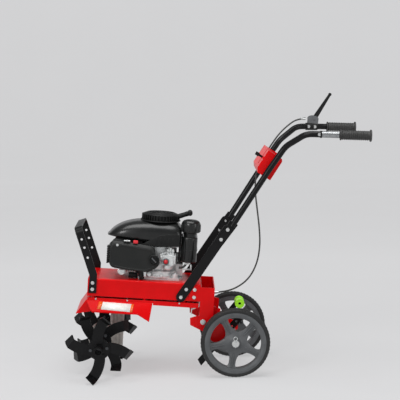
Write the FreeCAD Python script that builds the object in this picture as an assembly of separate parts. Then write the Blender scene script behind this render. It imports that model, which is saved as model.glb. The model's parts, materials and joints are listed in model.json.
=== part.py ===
"""Front-tine garden tiller, built from its separate pieces.

Millimetres, +Z up, +X to the rear (towards the handlebar), +Y to the operator's right.
The chassis is drawn square, with its origin on the wheel carriage's pivot, and is then
tipped back by TILT about that pivot, the attitude it has while tilling.
The wheels, their carriage and the drag stake are drawn in the ground's own frame.
"""
import FreeCAD, Part
import math
import os

V = FreeCAD.Vector
X_AXIS = V(1, 0, 0)
Y_AXIS = V(0, 1, 0)
Z_AXIS = V(0, 0, 1)

# ---- driving dimensions --------------------------------------------------------------
TILT = 4.35                 # degrees the chassis leans back while tilling
ORIGIN_X = 63.7             # from the wheel axle to the middle of the machine's length

# wheels and their carriage, in the ground's frame with x = 0 at the wheel axle
WHEEL_R = 127.0
WHEEL_WIDTH = 42.0
TRACK_HALF = 165.0
AXLE_R = 8.0
PIVOT = V(-116.0, 0, 196.6)
PIVOT_ROD_R = 6.0
RUN_FIT = 0.05              # radial play of a shaft in its bush

# chassis, from the carriage pivot
SHEET = 3.0
HALF_WIDTH = 120.0
DECK_FRONT = -427.0
DECK_REAR = -16.0
DECK_TOP = 137.0
DECK_LOW = 73.0
BOX_REAR = 36.0
BOX_TOP = 127.0
COVER_LOW = 58.0
SHIELD_FRONT = -430.0
SHIELD_REAR = -188.0

# drive line, from the carriage pivot
CRANK_X = -176.0
WORM_X = -318.0
TINE_X = -370.0
TINE_Z = -101.1
BELT_Z = 98.0
ENGINE_PULLEY_R = 30.0
DRIVEN_PULLEY_R = 50.0
BELT_HEIGHT = 8.0
WORM_R = 11.0
WORM_WHEEL_R = 40.2

# tines
TINE_TIP_R = 131.0
BLADE_WIDTH = 39.0
BLADE_THICK = 4.5
BLADE_BOW_R = 118.0         # radius that each sickle blade is bent to in its own plane
BLADE_FOLD = 62.0           # degrees the tip is folded sideways
BLADE_TIP = 34.0            # length of the folded tip
HUB_R = 16.0
INNER_SET_Y = 95.0
OUTER_SET_Y = 215.0
HUB_END_Y = 262.0

# handlebar, from the carriage pivot
BAR_WIDTH = 35.0
BAR_THICK = 5.0
TUBE_R = 11.0
TUBE_WALL = 1.8
GRIP_R = 16.0
GRIP_LENGTH = 112.0


# ---- small shape helpers -------------------------------------------------------------
def box(x0, x1, y0, y1, z0, z1):
    return Part.makeBox(x1 - x0, y1 - y0, z1 - z0, V(x0, y0, z0))


def rod(start, end, radius):
    start = V(*start)
    run = V(*end) - start
    return Part.makeCylinder(radius, run.Length, start, run)


def ring(start, end, outer, inner):
    return rod(start, end, outer).cut(rod(start, end, inner))


def plate_y(points, y0, y1):
    """Sheet cut to an outline in the X-Z plane, from y0 to y1."""
    corners = [V(x, y0, z) for x, z in points]
    face = Part.Face(Part.makePolygon(corners + corners[:1]))
    return face.extrude(V(0, y1 - y0, 0))


def plate_z(points, z0, z1):
    """Sheet cut to an outline in the X-Y plane, from z0 to z1."""
    corners = [V(x, y, z0) for x, y in points]
    face = Part.Face(Part.makePolygon(corners + corners[:1]))
    return face.extrude(V(0, 0, z1 - z0))


def fuse(*shapes):
    whole = shapes[0].multiFuse(list(shapes[1:]))
    return whole.removeSplitter()


def group(*shapes):
    return Part.makeCompound(list(shapes))


def turned(shape, centre, axis, degrees):
    copy = shape.copy()
    copy.rotate(V(*centre), axis, degrees)
    return copy


def revolve_z(profile, x, y):
    """Solid of revolution about the upright line at x, y, from (radius, z) points."""
    corners = [V(x + r, y, z) for r, z in profile]
    face = Part.Face(Part.makePolygon(corners + corners[:1]))
    return face.revolve(V(x, y, 0), Z_AXIS, 360)


def revolve_y(profile, x, z):
    """Solid of revolution about the crosswise line at x, z, from (radius, y) points."""
    corners = [V(x + r, y, z) for r, y in profile]
    face = Part.Face(Part.makePolygon(corners + corners[:1]))
    return face.revolve(V(x, 0, z), Y_AXIS, 360)


def round_edges(shape, radius, keep):
    """Fillet the edges that keep(edge) picks out."""
    edges = [edge for edge in shape.Edges if keep(edge)]
    return shape.makeFillet(radius, edges)


def along(edge, axis):
    """True for a straight edge parallel to the axis."""
    if edge.Curve.TypeId != "Part::GeomLine":
        return False
    return abs(edge.Curve.Direction.dot(axis)) > 0.999


def rounded_path(points, radii):
    """Straight runs joined by tangent arcs, one radius for each inner point."""
    points = [V(*point) for point in points]
    edges = []
    start = points[0]
    for corner, after, radius in zip(points[1:-1], points[2:], radii):
        into = (corner - start).normalize()
        out = (after - corner).normalize()
        turn = into.getAngle(out)
        setback = radius * math.tan(turn / 2)
        first = corner - into * setback
        last = corner + out * setback
        inward = (out - into).normalize()
        middle = corner + inward * (radius / math.cos(turn / 2) - radius)
        edges.append(Part.LineSegment(start, first).toShape())
        edges.append(Part.Arc(first, middle, last).toShape())
        start = last
    edges.append(Part.LineSegment(start, points[-1]).toShape())
    return Part.Wire(edges)


def sweep(path, radius):
    start = path.Edges[0]
    tangent = start.tangentAt(start.FirstParameter)
    circle = Part.Wire(Part.makeCircle(radius, start.valueAt(start.FirstParameter), tangent))
    return path.makePipeShell([circle], True, False)


def bolt(x, z, y_head, side, length, radius=4.0, head_r=7.0, head=4.5):
    """Hex bolt across the machine: head outside at y_head, shank running inwards."""
    shank = rod((x, side * y_head, z), (x, side * (y_head - length), z), radius)
    flats = [V(x + head_r * math.cos(math.radians(60 * k)), side * y_head,
               z + head_r * math.sin(math.radians(60 * k))) for k in range(6)]
    hexagon = Part.Face(Part.makePolygon(flats + flats[:1]))
    return fuse(hexagon.extrude(V(0, side * head, 0)), shank)


# ---- chassis sheet metal -------------------------------------------------------------
BAIL_BOLTS = [(-409.0, 122.0), (-409.0, 98.5)]
BAR_LOW_BOLTS = [(-68.0, 117.0), (-86.0, 87.0)]
BAR_HIGH_BOLTS = [(69.0, 345.0), (47.0, 308.0)]
JOIN_BOLTS = [(-37.0, 117.0), (-38.0, 89.0)]
ENGINE_BOLTS = [(-230.0, -62.0), (-230.0, 62.0), (-112.0, -62.0), (-112.0, 62.0)]
BOLT_HOLE_R = 4.3


def across_holes(places, reach):
    return [rod((x, -reach, z), (x, reach, z), BOLT_HOLE_R) for x, z in places]


def engine_deck():
    outer = box(DECK_FRONT, DECK_REAR, -HALF_WIDTH, HALF_WIDTH, DECK_LOW, DECK_TOP)
    outer = round_edges(outer, 5.0, lambda e: along(e, X_AXIS) and e.CenterOfMass.z > DECK_TOP - 1)
    inside = box(DECK_FRONT + SHEET, DECK_REAR + 1, SHEET - HALF_WIDTH, HALF_WIDTH - SHEET,
                 DECK_LOW + SHEET, DECK_TOP - SHEET)
    mouth = box(DECK_FRONT + 22, DECK_REAR + 1, 18 - HALF_WIDTH, HALF_WIDTH - 18,
                DECK_LOW - 1, DECK_LOW + SHEET + 1)
    crank_hole = rod((CRANK_X, 0, DECK_TOP - 10), (CRANK_X, 0, DECK_TOP + 5), 45.0)
    cuts = [inside, mouth, crank_hole]
    for x, y in ENGINE_BOLTS:
        cuts.append(rod((x, y, DECK_TOP - 6), (x, y, DECK_TOP + 2), BOLT_HOLE_R))
    cuts += across_holes(BAIL_BOLTS + BAR_LOW_BOLTS + JOIN_BOLTS, HALF_WIDTH + 2)
    return outer.cut(Part.makeCompound(cuts))


def belt_cover():
    """Shallow tray under the deck that closes in the belt, hung on six short sleeves."""
    y_lip = HALF_WIDTH + 1
    tray = box(DECK_FRONT + 2, -20, -y_lip, y_lip, COVER_LOW, COVER_LOW + SHEET)
    lips = [tray]
    for side in (-1, 1):
        y0, y1 = sorted((side * (y_lip - SHEET), side * y_lip))
        lips.append(box(DECK_FRONT + 2, -20, y0, y1, COVER_LOW, COVER_LOW + 9))
        lips.append(plate_y([(-186, COVER_LOW + 1), (-186, 51), (-20, 49), (-20, COVER_LOW + 1)], y0, y1))
        for x in (-405, -218, -75):
            lips.append(rod((x, side * 110, COVER_LOW), (x, side * 110, DECK_LOW), 6.0))
    case_hole = rod((WORM_X, 0, COVER_LOW - 1), (WORM_X, 0, COVER_LOW + 5), 30.0)
    return fuse(*lips).cut(case_hole)


def rear_box():
    """Open-topped box behind the deck: it carries the pivot of the wheel carriage."""
    outer_y = HALF_WIDTH + SHEET
    ear_front = [(-56, DECK_LOW + 3), (-56, 99), (-40, BOX_TOP), (BOX_REAR, BOX_TOP)]
    outline = ear_front + [(BOX_REAR, -2), (12, -16), (-12, -16), (-15, -4), (-15, DECK_LOW + 3)]
    pieces = []
    for side in (-1, 1):
        y0, y1 = sorted((side * HALF_WIDTH, side * outer_y))
        wall = plate_y(outline, y0, y1)
        pieces.append(wall)
        lug0, lug1 = sorted((side * 98, side * 101))
        pieces.append(plate_y([(BOX_REAR - 2, 56), (BOX_REAR + 26, 48), (BOX_REAR + 26, 4),
                               (BOX_REAR + 8, 4), (BOX_REAR - 2, 30)], lug0, lug1))
    pieces.append(box(-15, -12, -outer_y, outer_y, 58, BOX_TOP))
    pieces.append(box(BOX_REAR - SHEET, BOX_REAR, -outer_y, outer_y, 54, BOX_TOP))
    body = fuse(*pieces)
    cuts = across_holes(JOIN_BOLTS, outer_y + 2)
    cuts.append(rod((0, -outer_y - 2, 0), (0, outer_y + 2, 0), PIVOT_ROD_R + 0.3))
    cuts.append(rod((BOX_REAR - 8, 0, 88), (BOX_REAR + 4, 0, 88), 5.0))
    return body.cut(Part.makeCompound(cuts))


def tine_shield():
    """Folded sheet over the tines: flat top, sloping front with end gussets, flared skirts."""
    half = 124.0
    low = COVER_LOW - SHEET
    pieces = [box(SHIELD_FRONT, SHIELD_REAR, -half, half, low, COVER_LOW)]
    pieces.append(plate_y([(SHIELD_FRONT, COVER_LOW), (SHIELD_FRONT + 4, low), (-461, 4),
                           (-465, 5)], -half, half))
    for side in (-1, 1):
        y0, y1 = sorted((side * (half - SHEET), side * half))
        pieces.append(plate_y([(SHIELD_FRONT, COVER_LOW), (-465, 5), (-412, 16),
                               (-398, COVER_LOW)], y0, y1))
        pieces += skirt_plates(side, half)
    hole = rod((WORM_X, 0, low - 2), (WORM_X, 0, COVER_LOW + 2), 30.0)
    return fuse(*pieces).cut(hole)


def skirt_plates(side, half):
    """Side skirt sloping down and out, and the flare at its rear end."""
    outer = 150.0
    skirt_low = 22.0
    fall = (COVER_LOW - skirt_low) / (outer - half)
    front_y = 142.0
    front_z = COVER_LOW - (front_y - half) * fall
    top_front = V(SHIELD_FRONT + 2, side * half, COVER_LOW)
    top_rear = V(SHIELD_REAR, side * half, COVER_LOW)
    low_front = V(-405, side * outer, skirt_low)
    low_rear = V(-240, side * outer, skirt_low)
    nose = V(-414, side * front_y, front_z)
    flare_tip = V(-196, side * (outer + 3), -2)
    plates = []
    for outline in ([top_front, nose, low_front, low_rear, top_rear],
                    [top_rear, low_rear, flare_tip]):
        face = Part.Face(Part.makePolygon(outline + outline[:1]))
        plates.append(face.extrude(V(0, 0, -1.4 * SHEET)))
    return plates


def front_bail():
    """Steel strap bent to an arch: two drilled legs that lean forward from a kink."""
    top_x, top_z = -472.0, 322.0
    width = 28.0
    thick = 5.0
    lean = math.atan2(-406.5 - top_x, top_z - 150.0)
    across = V(math.cos(lean), 0, math.sin(lean)) * (width / 2)
    up = V(-math.sin(lean), 0, math.cos(lean))
    kink = V(-407.5, 0, 150.0)
    bend_r = 24.0
    bend_start = kink + up * ((top_z - 150.0) / math.cos(lean) - bend_r)
    leg = [V(-423, 0, 84), V(-395, 0, 84), kink + across, bend_start + across,
           bend_start - across, kink - across]
    arch = [bend_start - across, bend_start + across]
    pieces = []
    for side in (-1, 1):
        y_in = side * HALF_WIDTH
        outline = [V(p.x, y_in, p.z) for p in leg]
        face = Part.Face(Part.makePolygon(outline + outline[:1]))
        pieces.append(face.extrude(V(0, side * thick, 0)))
        quarter = Part.Face(Part.makePolygon(
            [V(p.x, y_in + dy, p.z) for p, dy in ((arch[0], 0), (arch[1], 0),
                                                  (arch[1], side * thick), (arch[0], side * thick),
                                                  (arch[0], 0))]))
        centre = V(bend_start.x, y_in + side * (thick - bend_r), bend_start.z)
        pieces.append(quarter.revolve(centre, across, side * 90))
    top = bend_start + up * bend_r
    reach = HALF_WIDTH + thick - bend_r
    outline = [top - across, top + across, top + across - up * thick, top - across - up * thick]
    outline = [V(p.x, -reach, p.z) for p in outline]
    face = Part.Face(Part.makePolygon(outline + outline[:1]))
    pieces.append(face.extrude(V(0, 2 * reach, 0)))
    holes = across_holes(BAIL_BOLTS, HALF_WIDTH + thick + 2)
    for share in (0.42, 0.66, 0.86):
        middle = kink + (bend_start - kink) * share
        holes.append(rod((middle.x, -140, middle.z), (middle.x, 140, middle.z), 4.3))
    return fuse(*pieces).cut(Part.makeCompound(holes))


def frame_bolts():
    """Bolts through the chassis sheet: bail, box joints, handle bars and cover screws."""
    pieces = []
    for side in (-1, 1):
        for x, z in BAIL_BOLTS + BAR_LOW_BOLTS:
            pieces.append(bolt(x, z, HALF_WIDTH + 5, side, 16))
        for x, z in JOIN_BOLTS:
            pieces.append(bolt(x, z, HALF_WIDTH + SHEET, side, 14))
        for x, z in BAR_HIGH_BOLTS:
            pieces.append(bolt(x, z, HALF_WIDTH + BAR_THICK + 5, side, 20))
        for x in (-395, -280, -90):
            screw = rod((x, side * (HALF_WIDTH + 1), 63), (x, side * (HALF_WIDTH + 3.2), 63), 3.0)
            pieces.append(screw)
    for x, y in ENGINE_BOLTS:
        top = DECK_TOP + 24
        shank = rod((x, y, top), (x, y, DECK_TOP - 10), 4.0)
        pieces.append(fuse(shank, rod((x, y, top), (x, y, top + 5), 5.5)))
    pieces.append(idler_pin())
    return group(*pieces)


# ---- handlebar -----------------------------------------------------------------------
BAR_DIRECTION = V(155.9, 0, 259.9).normalize()
TUBE_BEND_R = 62.0


def handle_bar(side):
    """Flat lower bar, rounded at both ends, bolted outside the deck."""
    low = V(BAR_LOW_BOLTS[1][0], 0, BAR_LOW_BOLTS[1][1])
    reach = (V(BAR_HIGH_BOLTS[0][0], 0, BAR_HIGH_BOLTS[0][1]) - low).Length
    high = low + BAR_DIRECTION * reach
    half = V(-BAR_DIRECTION.z, 0, BAR_DIRECTION.x) * (BAR_WIDTH / 2)
    y0 = side * HALF_WIDTH
    strap = [low + half, high + half, high - half, low - half]
    outline = [V(p.x, y0, p.z) for p in strap]
    face = Part.Face(Part.makePolygon(outline + outline[:1]))
    y1 = y0 + side * BAR_THICK
    pieces = [face.extrude(V(0, side * BAR_THICK, 0))]
    for end in (low, high):
        pieces.append(rod((end.x, y0, end.z), (end.x, y1, end.z), BAR_WIDTH / 2))
    holes = across_holes(BAR_LOW_BOLTS + BAR_HIGH_BOLTS, HALF_WIDTH + 12)
    return fuse(*pieces).cut(Part.makeCompound(holes))


def tube_points(side):
    """Centre line of one upper tube, from its flattened foot to the end of the grip."""
    return [(88, side * 132.0, 367), (206, side * 145.0, 577), (256, side * 152.0, 660),
            (322, side * 206.0, 713), (420, side * 224.0, 717), (547, side * 226.0, 721)]


def handle_tube(side):
    """Upper handle tube: flattened and drilled at the foot, bent out and back to the grip."""
    path = rounded_path(tube_points(side), (300.0, TUBE_BEND_R, TUBE_BEND_R, 110.0))
    tube = sweep(path, TUBE_R).cut(sweep(path, TUBE_R - TUBE_WALL))
    along_bar = V(206 - 88, 0, 577 - 367).normalize()
    half = V(-along_bar.z, 0, along_bar.x)
    foot = V(88, 0, 367)
    low = V(BAR_HIGH_BOLTS[1][0], 0, BAR_HIGH_BOLTS[1][1]) - BAR_DIRECTION * 15
    y0 = side * (HALF_WIDTH + BAR_THICK)
    outline = [low + half * 15, foot + half * 16, foot - half * 16, low - half * 17]
    outline = [V(p.x, y0, p.z) for p in outline]
    face = Part.Face(Part.makePolygon(outline + outline[:1]))
    paddle = face.extrude(V(0, side * 5.0, 0))
    flat = Part.Face(Part.makePolygon(
        [foot + half * 16 + V(0, y0, 0), foot - half * 16 + V(0, y0, 0),
         foot - half * 16 + V(0, y0 + side * 5, 0), foot + half * 16 + V(0, y0 + side * 5, 0),
         foot + half * 16 + V(0, y0, 0)]))
    spread = flat.extrude(along_bar * 6)
    plug_end = foot + V(0, side * 132.0, 0)
    neck = rod(plug_end - along_bar * 10, plug_end + along_bar * 14, TUBE_R - TUBE_WALL / 2)
    body = fuse(paddle, spread, neck, tube)
    holes = across_holes(BAR_HIGH_BOLTS, HALF_WIDTH + 14)
    return body.cut(Part.makeCompound(holes))


def grip(side):
    """Ribbed rubber grip with a flanged end that closes the tube."""
    start = V(*tube_points(side)[4])
    end = V(*tube_points(side)[5])
    axis = (end - start).normalize()
    inner = end - axis * (GRIP_LENGTH - 4)
    outside = [rod(inner, end, GRIP_R), rod(end - axis * 2, end + axis * 4, GRIP_R + 5.5)]
    outside.append(rod(inner, inner + axis * 5, GRIP_R + 3))
    for step in range(1, 14):
        mark = inner + axis * (5 + step * 7.2)
        outside.append(rod(mark, mark + axis * 3.4, GRIP_R + 1.2))
    bore = rod(inner - axis, end, TUBE_R)
    return fuse(*outside).cut(bore)


THROTTLE_PIVOT = V(214, 0, 592)
THROTTLE_Y = -60.0
CONSOLE_BOLT_RUNS = (206.0, 252.0)
CONSOLE_INNER_Y = 129.0


def tube_directions():
    """Unit vectors along the upper tubes and out from their front, in side view."""
    foot, top = V(*tube_points(1)[0]), V(*tube_points(1)[1])
    run = V(top.x - foot.x, 0, top.z - foot.z).normalize()
    return run, V(-run.z, 0, run.x)


def console_bolt_points():
    foot, top = V(*tube_points(1)[0]), V(*tube_points(1)[1])
    run = (top - foot).normalize()
    return [foot + run * reach for reach in CONSOLE_BOLT_RUNS]


def slab(corners, y0, y1):
    """Plate between two crosswise places, from corners given as vectors in side view."""
    return plate_y([(c.x, c.z) for c in corners], y0, y1)


def console_panel():
    """Folded panel between the tubes, with a slot for the throttle lever."""
    run, out = tube_directions()
    centre = V(206, 0, 586)
    wall = 2.5
    a = centre - run * 44
    b = centre + run * 44
    profile = [a - out * 30, a + out * 24, a + out * 34 + run * 14, b + out * 34, b + out * 6,
               b - out * 24, b - out * 30 - run * 8]
    pieces = []
    for side in (-1, 1):
        y0, y1 = sorted((side * CONSOLE_INNER_Y, side * (CONSOLE_INNER_Y - wall)))
        pieces.append(slab(profile, y0, y1))
    for first in (0, 1, 2, 3):
        p, q = profile[first], profile[first + 1]
        edge = (q - p).normalize()
        inwards = V(edge.z, 0, -edge.x) * wall
        pieces.append(slab([p, q, q + inwards, p + inwards], -CONSOLE_INNER_Y, CONSOLE_INNER_Y))
    slot_low = THROTTLE_PIVOT - run * 30 + out * 8
    slot = slab([slot_low, slot_low + run * 62, slot_low + run * 62 + out * 40, slot_low + out * 40],
                THROTTLE_Y - 7, THROTTLE_Y + 7)
    lever_pin = rod((THROTTLE_PIVOT.x, THROTTLE_Y - 14, THROTTLE_PIVOT.z),
                    (THROTTLE_PIVOT.x, THROTTLE_Y + 14, THROTTLE_PIVOT.z), 3.0)
    cheeks = []
    for y0 in (THROTTLE_Y - 14, THROTTLE_Y + 11):
        low, high = THROTTLE_PIVOT - run * 10, THROTTLE_PIVOT + run * 10
        cheeks.append(slab([low - out * 8, high - out * 8, high + out * 26, low + out * 26],
                           y0, y0 + 3))
    holes = []
    for point in console_bolt_points():
        holes.append(rod((point.x, -160, point.z), (point.x, 160, point.z), 3.3))
    shell = fuse(*pieces).cut(Part.makeCompound(holes + [slot]))
    return fuse(shell, lever_pin, *cheeks)


def throttle_lever():
    """Small lever on the console's cross pin, standing out through the slot."""
    run, out = tube_directions()
    pivot = THROTTLE_PIVOT
    hub = rod((pivot.x, THROTTLE_Y - 4, pivot.z), (pivot.x, THROTTLE_Y + 4, pivot.z), 8.0)
    arm = slab([pivot - run * 4, pivot + run * 4, pivot + run * 4 + out * 56,
                pivot - run * 4 + out * 56], THROTTLE_Y - 2.5, THROTTLE_Y + 2.5)
    knob_low = pivot + out * 52
    knob = slab([knob_low - run * 7, knob_low + run * 7, knob_low + run * 6 + out * 14,
                 knob_low - run * 6 + out * 14], THROTTLE_Y - 6, THROTTLE_Y + 6)
    bore = rod((pivot.x, THROTTLE_Y - 9, pivot.z), (pivot.x, THROTTLE_Y + 9, pivot.z), 3.0 + RUN_FIT)
    return fuse(hub, arm, knob).cut(bore)


# ---- clutch lever and its cable ------------------------------------------------------
CLUTCH_PIVOT = V(388, 0, 744)
CLUTCH_Y = 219.5
CLUTCH_BOLT_XS = (368.0, 392.0)


def clutch_bracket():
    """Clamp round the right tube below two ears that hold the lever's pin."""
    middle_z = 715.6
    clamp = box(356, 404, CLUTCH_Y - 21, CLUTCH_Y + 16, middle_z - 15, middle_z + 15)
    clamp = round_edges(clamp, 6.0, lambda e: along(e, X_AXIS))
    ears = []
    for y0 in (CLUTCH_Y - 10, CLUTCH_Y + 6):
        ears.append(plate_y([(362, middle_z + 12), (366, 752), (394, 756), (402, middle_z + 12)],
                            y0, y0 + 4))
    pin = rod((CLUTCH_PIVOT.x, CLUTCH_Y - 12, CLUTCH_PIVOT.z),
              (CLUTCH_PIVOT.x, CLUTCH_Y + 12, CLUTCH_PIVOT.z), 3.0)
    screws = []
    for x in CLUTCH_BOLT_XS:
        for y in (CLUTCH_Y - 24, CLUTCH_Y + 16):
            screws.append(rod((x, y, middle_z), (x, y + 3, middle_z), 4.0))
    path = rounded_path(tube_points(1), (300.0, TUBE_BEND_R, TUBE_BEND_R, 110.0))
    hollow = sweep(path, TUBE_R)
    return fuse(clamp.cut(hollow), pin, *ears, *screws)


def clutch_lever():
    """Tapered hand lever that stands up from the right grip when let go."""
    pivot = CLUTCH_PIVOT
    direction = V(57.5, 0, 103.0).normalize()
    half = V(-direction.z, 0, direction.x)
    tip = pivot + direction * 112
    y0, y1 = CLUTCH_Y - 5, CLUTCH_Y + 5
    arm = slab([pivot + half * 9, tip + half * 4.5, tip - half * 4.5, pivot - half * 9], y0, y1)
    hub = rod((pivot.x, y0, pivot.z), (pivot.x, y1, pivot.z), 9.5)
    end = rod((tip.x, y0, tip.z), (tip.x, y1, tip.z), 6.0)
    bore = rod((pivot.x, y0 - 1, pivot.z), (pivot.x, y1 + 1, pivot.z), 3.0 + RUN_FIT)
    return fuse(arm, hub, end).cut(bore)


CABLE_R = 3.0
CABLE_POINTS = [(354, 212, 744), (322, 202, 742), (286, 184, 716), (254, 164, 684), (228, 150, 645),
                (204, 143, 602), (181, 137, 563), (172, 120, 516), (173, 90, 462), (184, 60, 396),
                (195, 37, 330), (200, 22, 266), (192, 12, 204), (166, 5, 148), (124, 1, 112),
                (80, 0, 94), (37, 0, 88)]


def cable_radii(points):
    """Each arc as wide as its two runs allow: 0.45 of the shorter over tan(half the turn)."""
    radii = []
    for before, corner, after in zip(points, points[1:], points[2:]):
        into = V(*corner) - V(*before)
        out = V(*after) - V(*corner)
        turn = into.getAngle(out)
        radii.append(0.45 * min(into.Length, out.Length) / math.tan(turn / 2))
    return radii


def clutch_cable():
    """Sheathed cable from the lever's bracket down to the back wall of the rear box."""
    return sweep(rounded_path(CABLE_POINTS, cable_radii(CABLE_POINTS)), CABLE_R)


# ---- engine --------------------------------------------------------------------------
CASE_R = 66.0               # upper crankcase, below the flywheel
SHROUD_REAR = -98.0


def crankcase():
    """Cast sump and crankcase: a flange on four bosses with the crank bore through it."""
    flange = plate_z([(-246, -74), (-96, -74), (-84, -40), (-84, 40), (-96, 74), (-246, 74),
                      (-256, 40), (-256, -40)], DECK_TOP, DECK_TOP + 9)
    bowl = revolve_z([(0, DECK_TOP + 8), (78, DECK_TOP + 8), (76, 168), (CASE_R, 174),
                      (CASE_R, 262), (58, 262), (58, 230), (0, 230)], CRANK_X, 0)
    bosses = []
    for x, y in ENGINE_BOLTS:
        bosses.append(rod((x, y, DECK_TOP), (x, y, DECK_TOP + 24), 11.0))
    neck = box(-262, CRANK_X - 60, -46, 46, 160, 224)
    blower_base = box(-240, SHROUD_REAR - 3.5, -56, 56, 259, 262)
    blower_base = blower_base.cut(rod((CRANK_X, 0, 255), (CRANK_X, 0, 265), 60.0))
    rear_pad = box(-112, -84, -36, 30, DECK_TOP + 8, 196)
    solid = fuse(flange, bowl, neck, rear_pad, blower_base, *bosses)
    bore = rod((CRANK_X, 0, 120), (CRANK_X, 0, 240), 12.0 + RUN_FIT)
    chamber = rod((CRANK_X, 0, 152), (CRANK_X, 0, 216), 48.0)
    piston_way = rod((-270, 0, 192), (CRANK_X, 0, 192), 26.0)
    holes = [rod((x, y, 130), (x, y, DECK_TOP + 30), BOLT_HOLE_R) for x, y in ENGINE_BOLTS]
    return solid.cut(Part.makeCompound([bore, chamber, piston_way] + holes))


def cylinder_block():
    """Finned cylinder and its rocker cover, lying towards the front of the machine."""
    pieces = [box(-316, -262, -34, 34, 158, 226)]
    for step in range(6):
        x0 = -315 + step * 9
        pieces.append(box(x0, x0 + 3.5, -52, 52, 150, 236))
    pieces.append(box(-338, -315, -30, 30, 164, 220))
    bore = rod((-308, 0, 192), (-255, 0, 192), 26.0)
    return fuse(*pieces).cut(bore)


def piston_and_rod():
    """Piston, gudgeon end and connecting rod at the middle of the stroke."""
    piston = rod((-304, 0, 192), (-272, 0, 192), 25.7)
    return fuse(piston, box(-275, -214, -5, 5, 187, 197))


def crankshaft():
    """Upright crankshaft with one throw, from the flywheel down to the belt pulley."""
    x = CRANK_X
    pieces = [rod((x, 0, 74), (x, 0, 170), 12.0), rod((x, 0, 206), (x, 0, 318), 12.0)]
    for z0 in (168, 200):
        pieces.append(rod((x, 0, z0), (x, 0, z0 + 8), 30.0))
    pieces.append(rod((x + 16, 0, 174), (x + 16, 0, 202), 8.0))
    return fuse(*pieces)


def flywheel():
    """Finned flywheel that blows the cooling air."""
    x = CRANK_X
    disc = revolve_z([(12, 266), (64, 266), (68, 272), (68, 288), (58, 288), (54, 278), (12, 278)],
                     x, 0)
    fins = []
    for k in range(12):
        fin = box(x + 36, x + 66, -1.5, 1.5, 276, 304)
        fins.append(turned(fin, (x, 0, 0), Z_AXIS, 30 * k))
    return fuse(disc, *fins)


def v_pulley(x, pitch_r, bore_r, wall_r):
    """Pulley with a V groove at the belt's height."""
    z = BELT_Z
    floor = pitch_r - 4
    profile = [(bore_r, z - 9), (wall_r, z - 9), (wall_r, z - 6.5), (floor, z - 3.2),
               (floor, z + 3.2), (wall_r, z + 6.5), (wall_r, z + 9), (bore_r, z + 9)]
    return revolve_z(profile, x, 0)


def engine_pulley():
    return v_pulley(CRANK_X, ENGINE_PULLEY_R, 12.0, ENGINE_PULLEY_R + 5)


def driven_pulley():
    return v_pulley(WORM_X, DRIVEN_PULLEY_R, 8.0, DRIVEN_PULLEY_R + 5)


def belt_outline(grow):
    """Wire round both pulleys at a given distance outside the grooves' floors."""
    small, large = ENGINE_PULLEY_R - 4 + grow, DRIVEN_PULLEY_R - 4 + grow
    distance = CRANK_X - WORM_X
    lean = math.asin((large - small) / distance)
    s, c = math.sin(lean), math.cos(lean)
    z = BELT_Z
    big_top = V(WORM_X + large * s, large * c, z)
    small_top = V(CRANK_X + small * s, small * c, z)
    small_low = V(small_top.x, -small_top.y, z)
    big_low = V(big_top.x, -big_top.y, z)
    edges = [Part.LineSegment(big_top, small_top).toShape(),
             Part.Arc(small_top, V(CRANK_X + small, 0, z), small_low).toShape(),
             Part.LineSegment(small_low, big_low).toShape(),
             Part.Arc(big_low, V(WORM_X - large, 0, z), big_top).toShape()]
    return Part.Wire(edges)


def drive_belt():
    """Flat-sided V-belt that sits slack in both grooves."""
    play = 0.5
    outer = Part.Face(belt_outline(play + BELT_HEIGHT)).extrude(V(0, 0, 5.6))
    inner = Part.Face(belt_outline(play)).extrude(V(0, 0, 5.6))
    belt = outer.cut(inner)
    belt.translate(V(0, 0, -2.8))
    return belt


IDLER_PIVOT = V(-196, 92, BELT_Z)
IDLER_HOME = V(-243, 72, BELT_Z)
IDLER_R = 18.0


def idler_pin():
    """Shouldered bolt under the deck that the idler arm swings on."""
    p = IDLER_PIVOT
    return fuse(rod((p.x, p.y, BELT_Z + 14), (p.x, p.y, DECK_TOP - SHEET), 5.0),
                rod((p.x, p.y, BELT_Z + 8), (p.x, p.y, BELT_Z + 14), 9.0),
                rod((p.x, p.y, DECK_TOP - SHEET - 5), (p.x, p.y, DECK_TOP - SHEET), 9.0))


def idler_arm():
    """Flat arm above the belt, with the idler's stud and the spring's hook hole."""
    p, q = IDLER_PIVOT, IDLER_HOME
    z0 = BELT_Z + 14.5
    direction = (q - p).normalize()
    half = V(-direction.y, direction.x, 0) * 9
    tail = p - direction * 14
    outline = [tail + half, q + half, q - half, tail - half]
    outline = [V(c.x, c.y, z0) for c in outline]
    face = Part.Face(Part.makePolygon(outline + outline[:1]))
    arm = fuse(face.extrude(V(0, 0, 5)), rod((q.x, q.y, z0), (q.x, q.y, z0 + 5), 9.0),
               rod((tail.x, tail.y, z0), (tail.x, tail.y, z0 + 5), 9.0),
               rod((p.x, p.y, z0), (p.x, p.y, z0 + 12), 10.0),
               rod((q.x, q.y, BELT_Z - 10), (q.x, q.y, z0 + 1), 4.0))
    bore = rod((p.x, p.y, z0 - 1), (p.x, p.y, z0 + 14), 5.0 + RUN_FIT)
    hook = rod((tail.x, tail.y, z0 - 1), (tail.x, tail.y, z0 + 7), 2.5)
    return arm.cut(bore).cut(hook)


def idler_pulley():
    profile = [(4.0 + RUN_FIT, BELT_Z - 8), (IDLER_R + 3, BELT_Z - 8), (IDLER_R, BELT_Z - 6),
               (IDLER_R, BELT_Z + 6), (IDLER_R + 3, BELT_Z + 8), (4.0 + RUN_FIT, BELT_Z + 8)]
    return revolve_z(profile, IDLER_HOME.x, IDLER_HOME.y)


RECOIL_R = 74.0
FUEL_X = -63.0
FUEL_Y = -48.0
AIR_BOX_FRONT = -364.0
AIR_BOX_REAR = -172.0
AIR_KNOB = V(-191, 0, 216)
PRIMER = V(-148, 0, 209)


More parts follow.
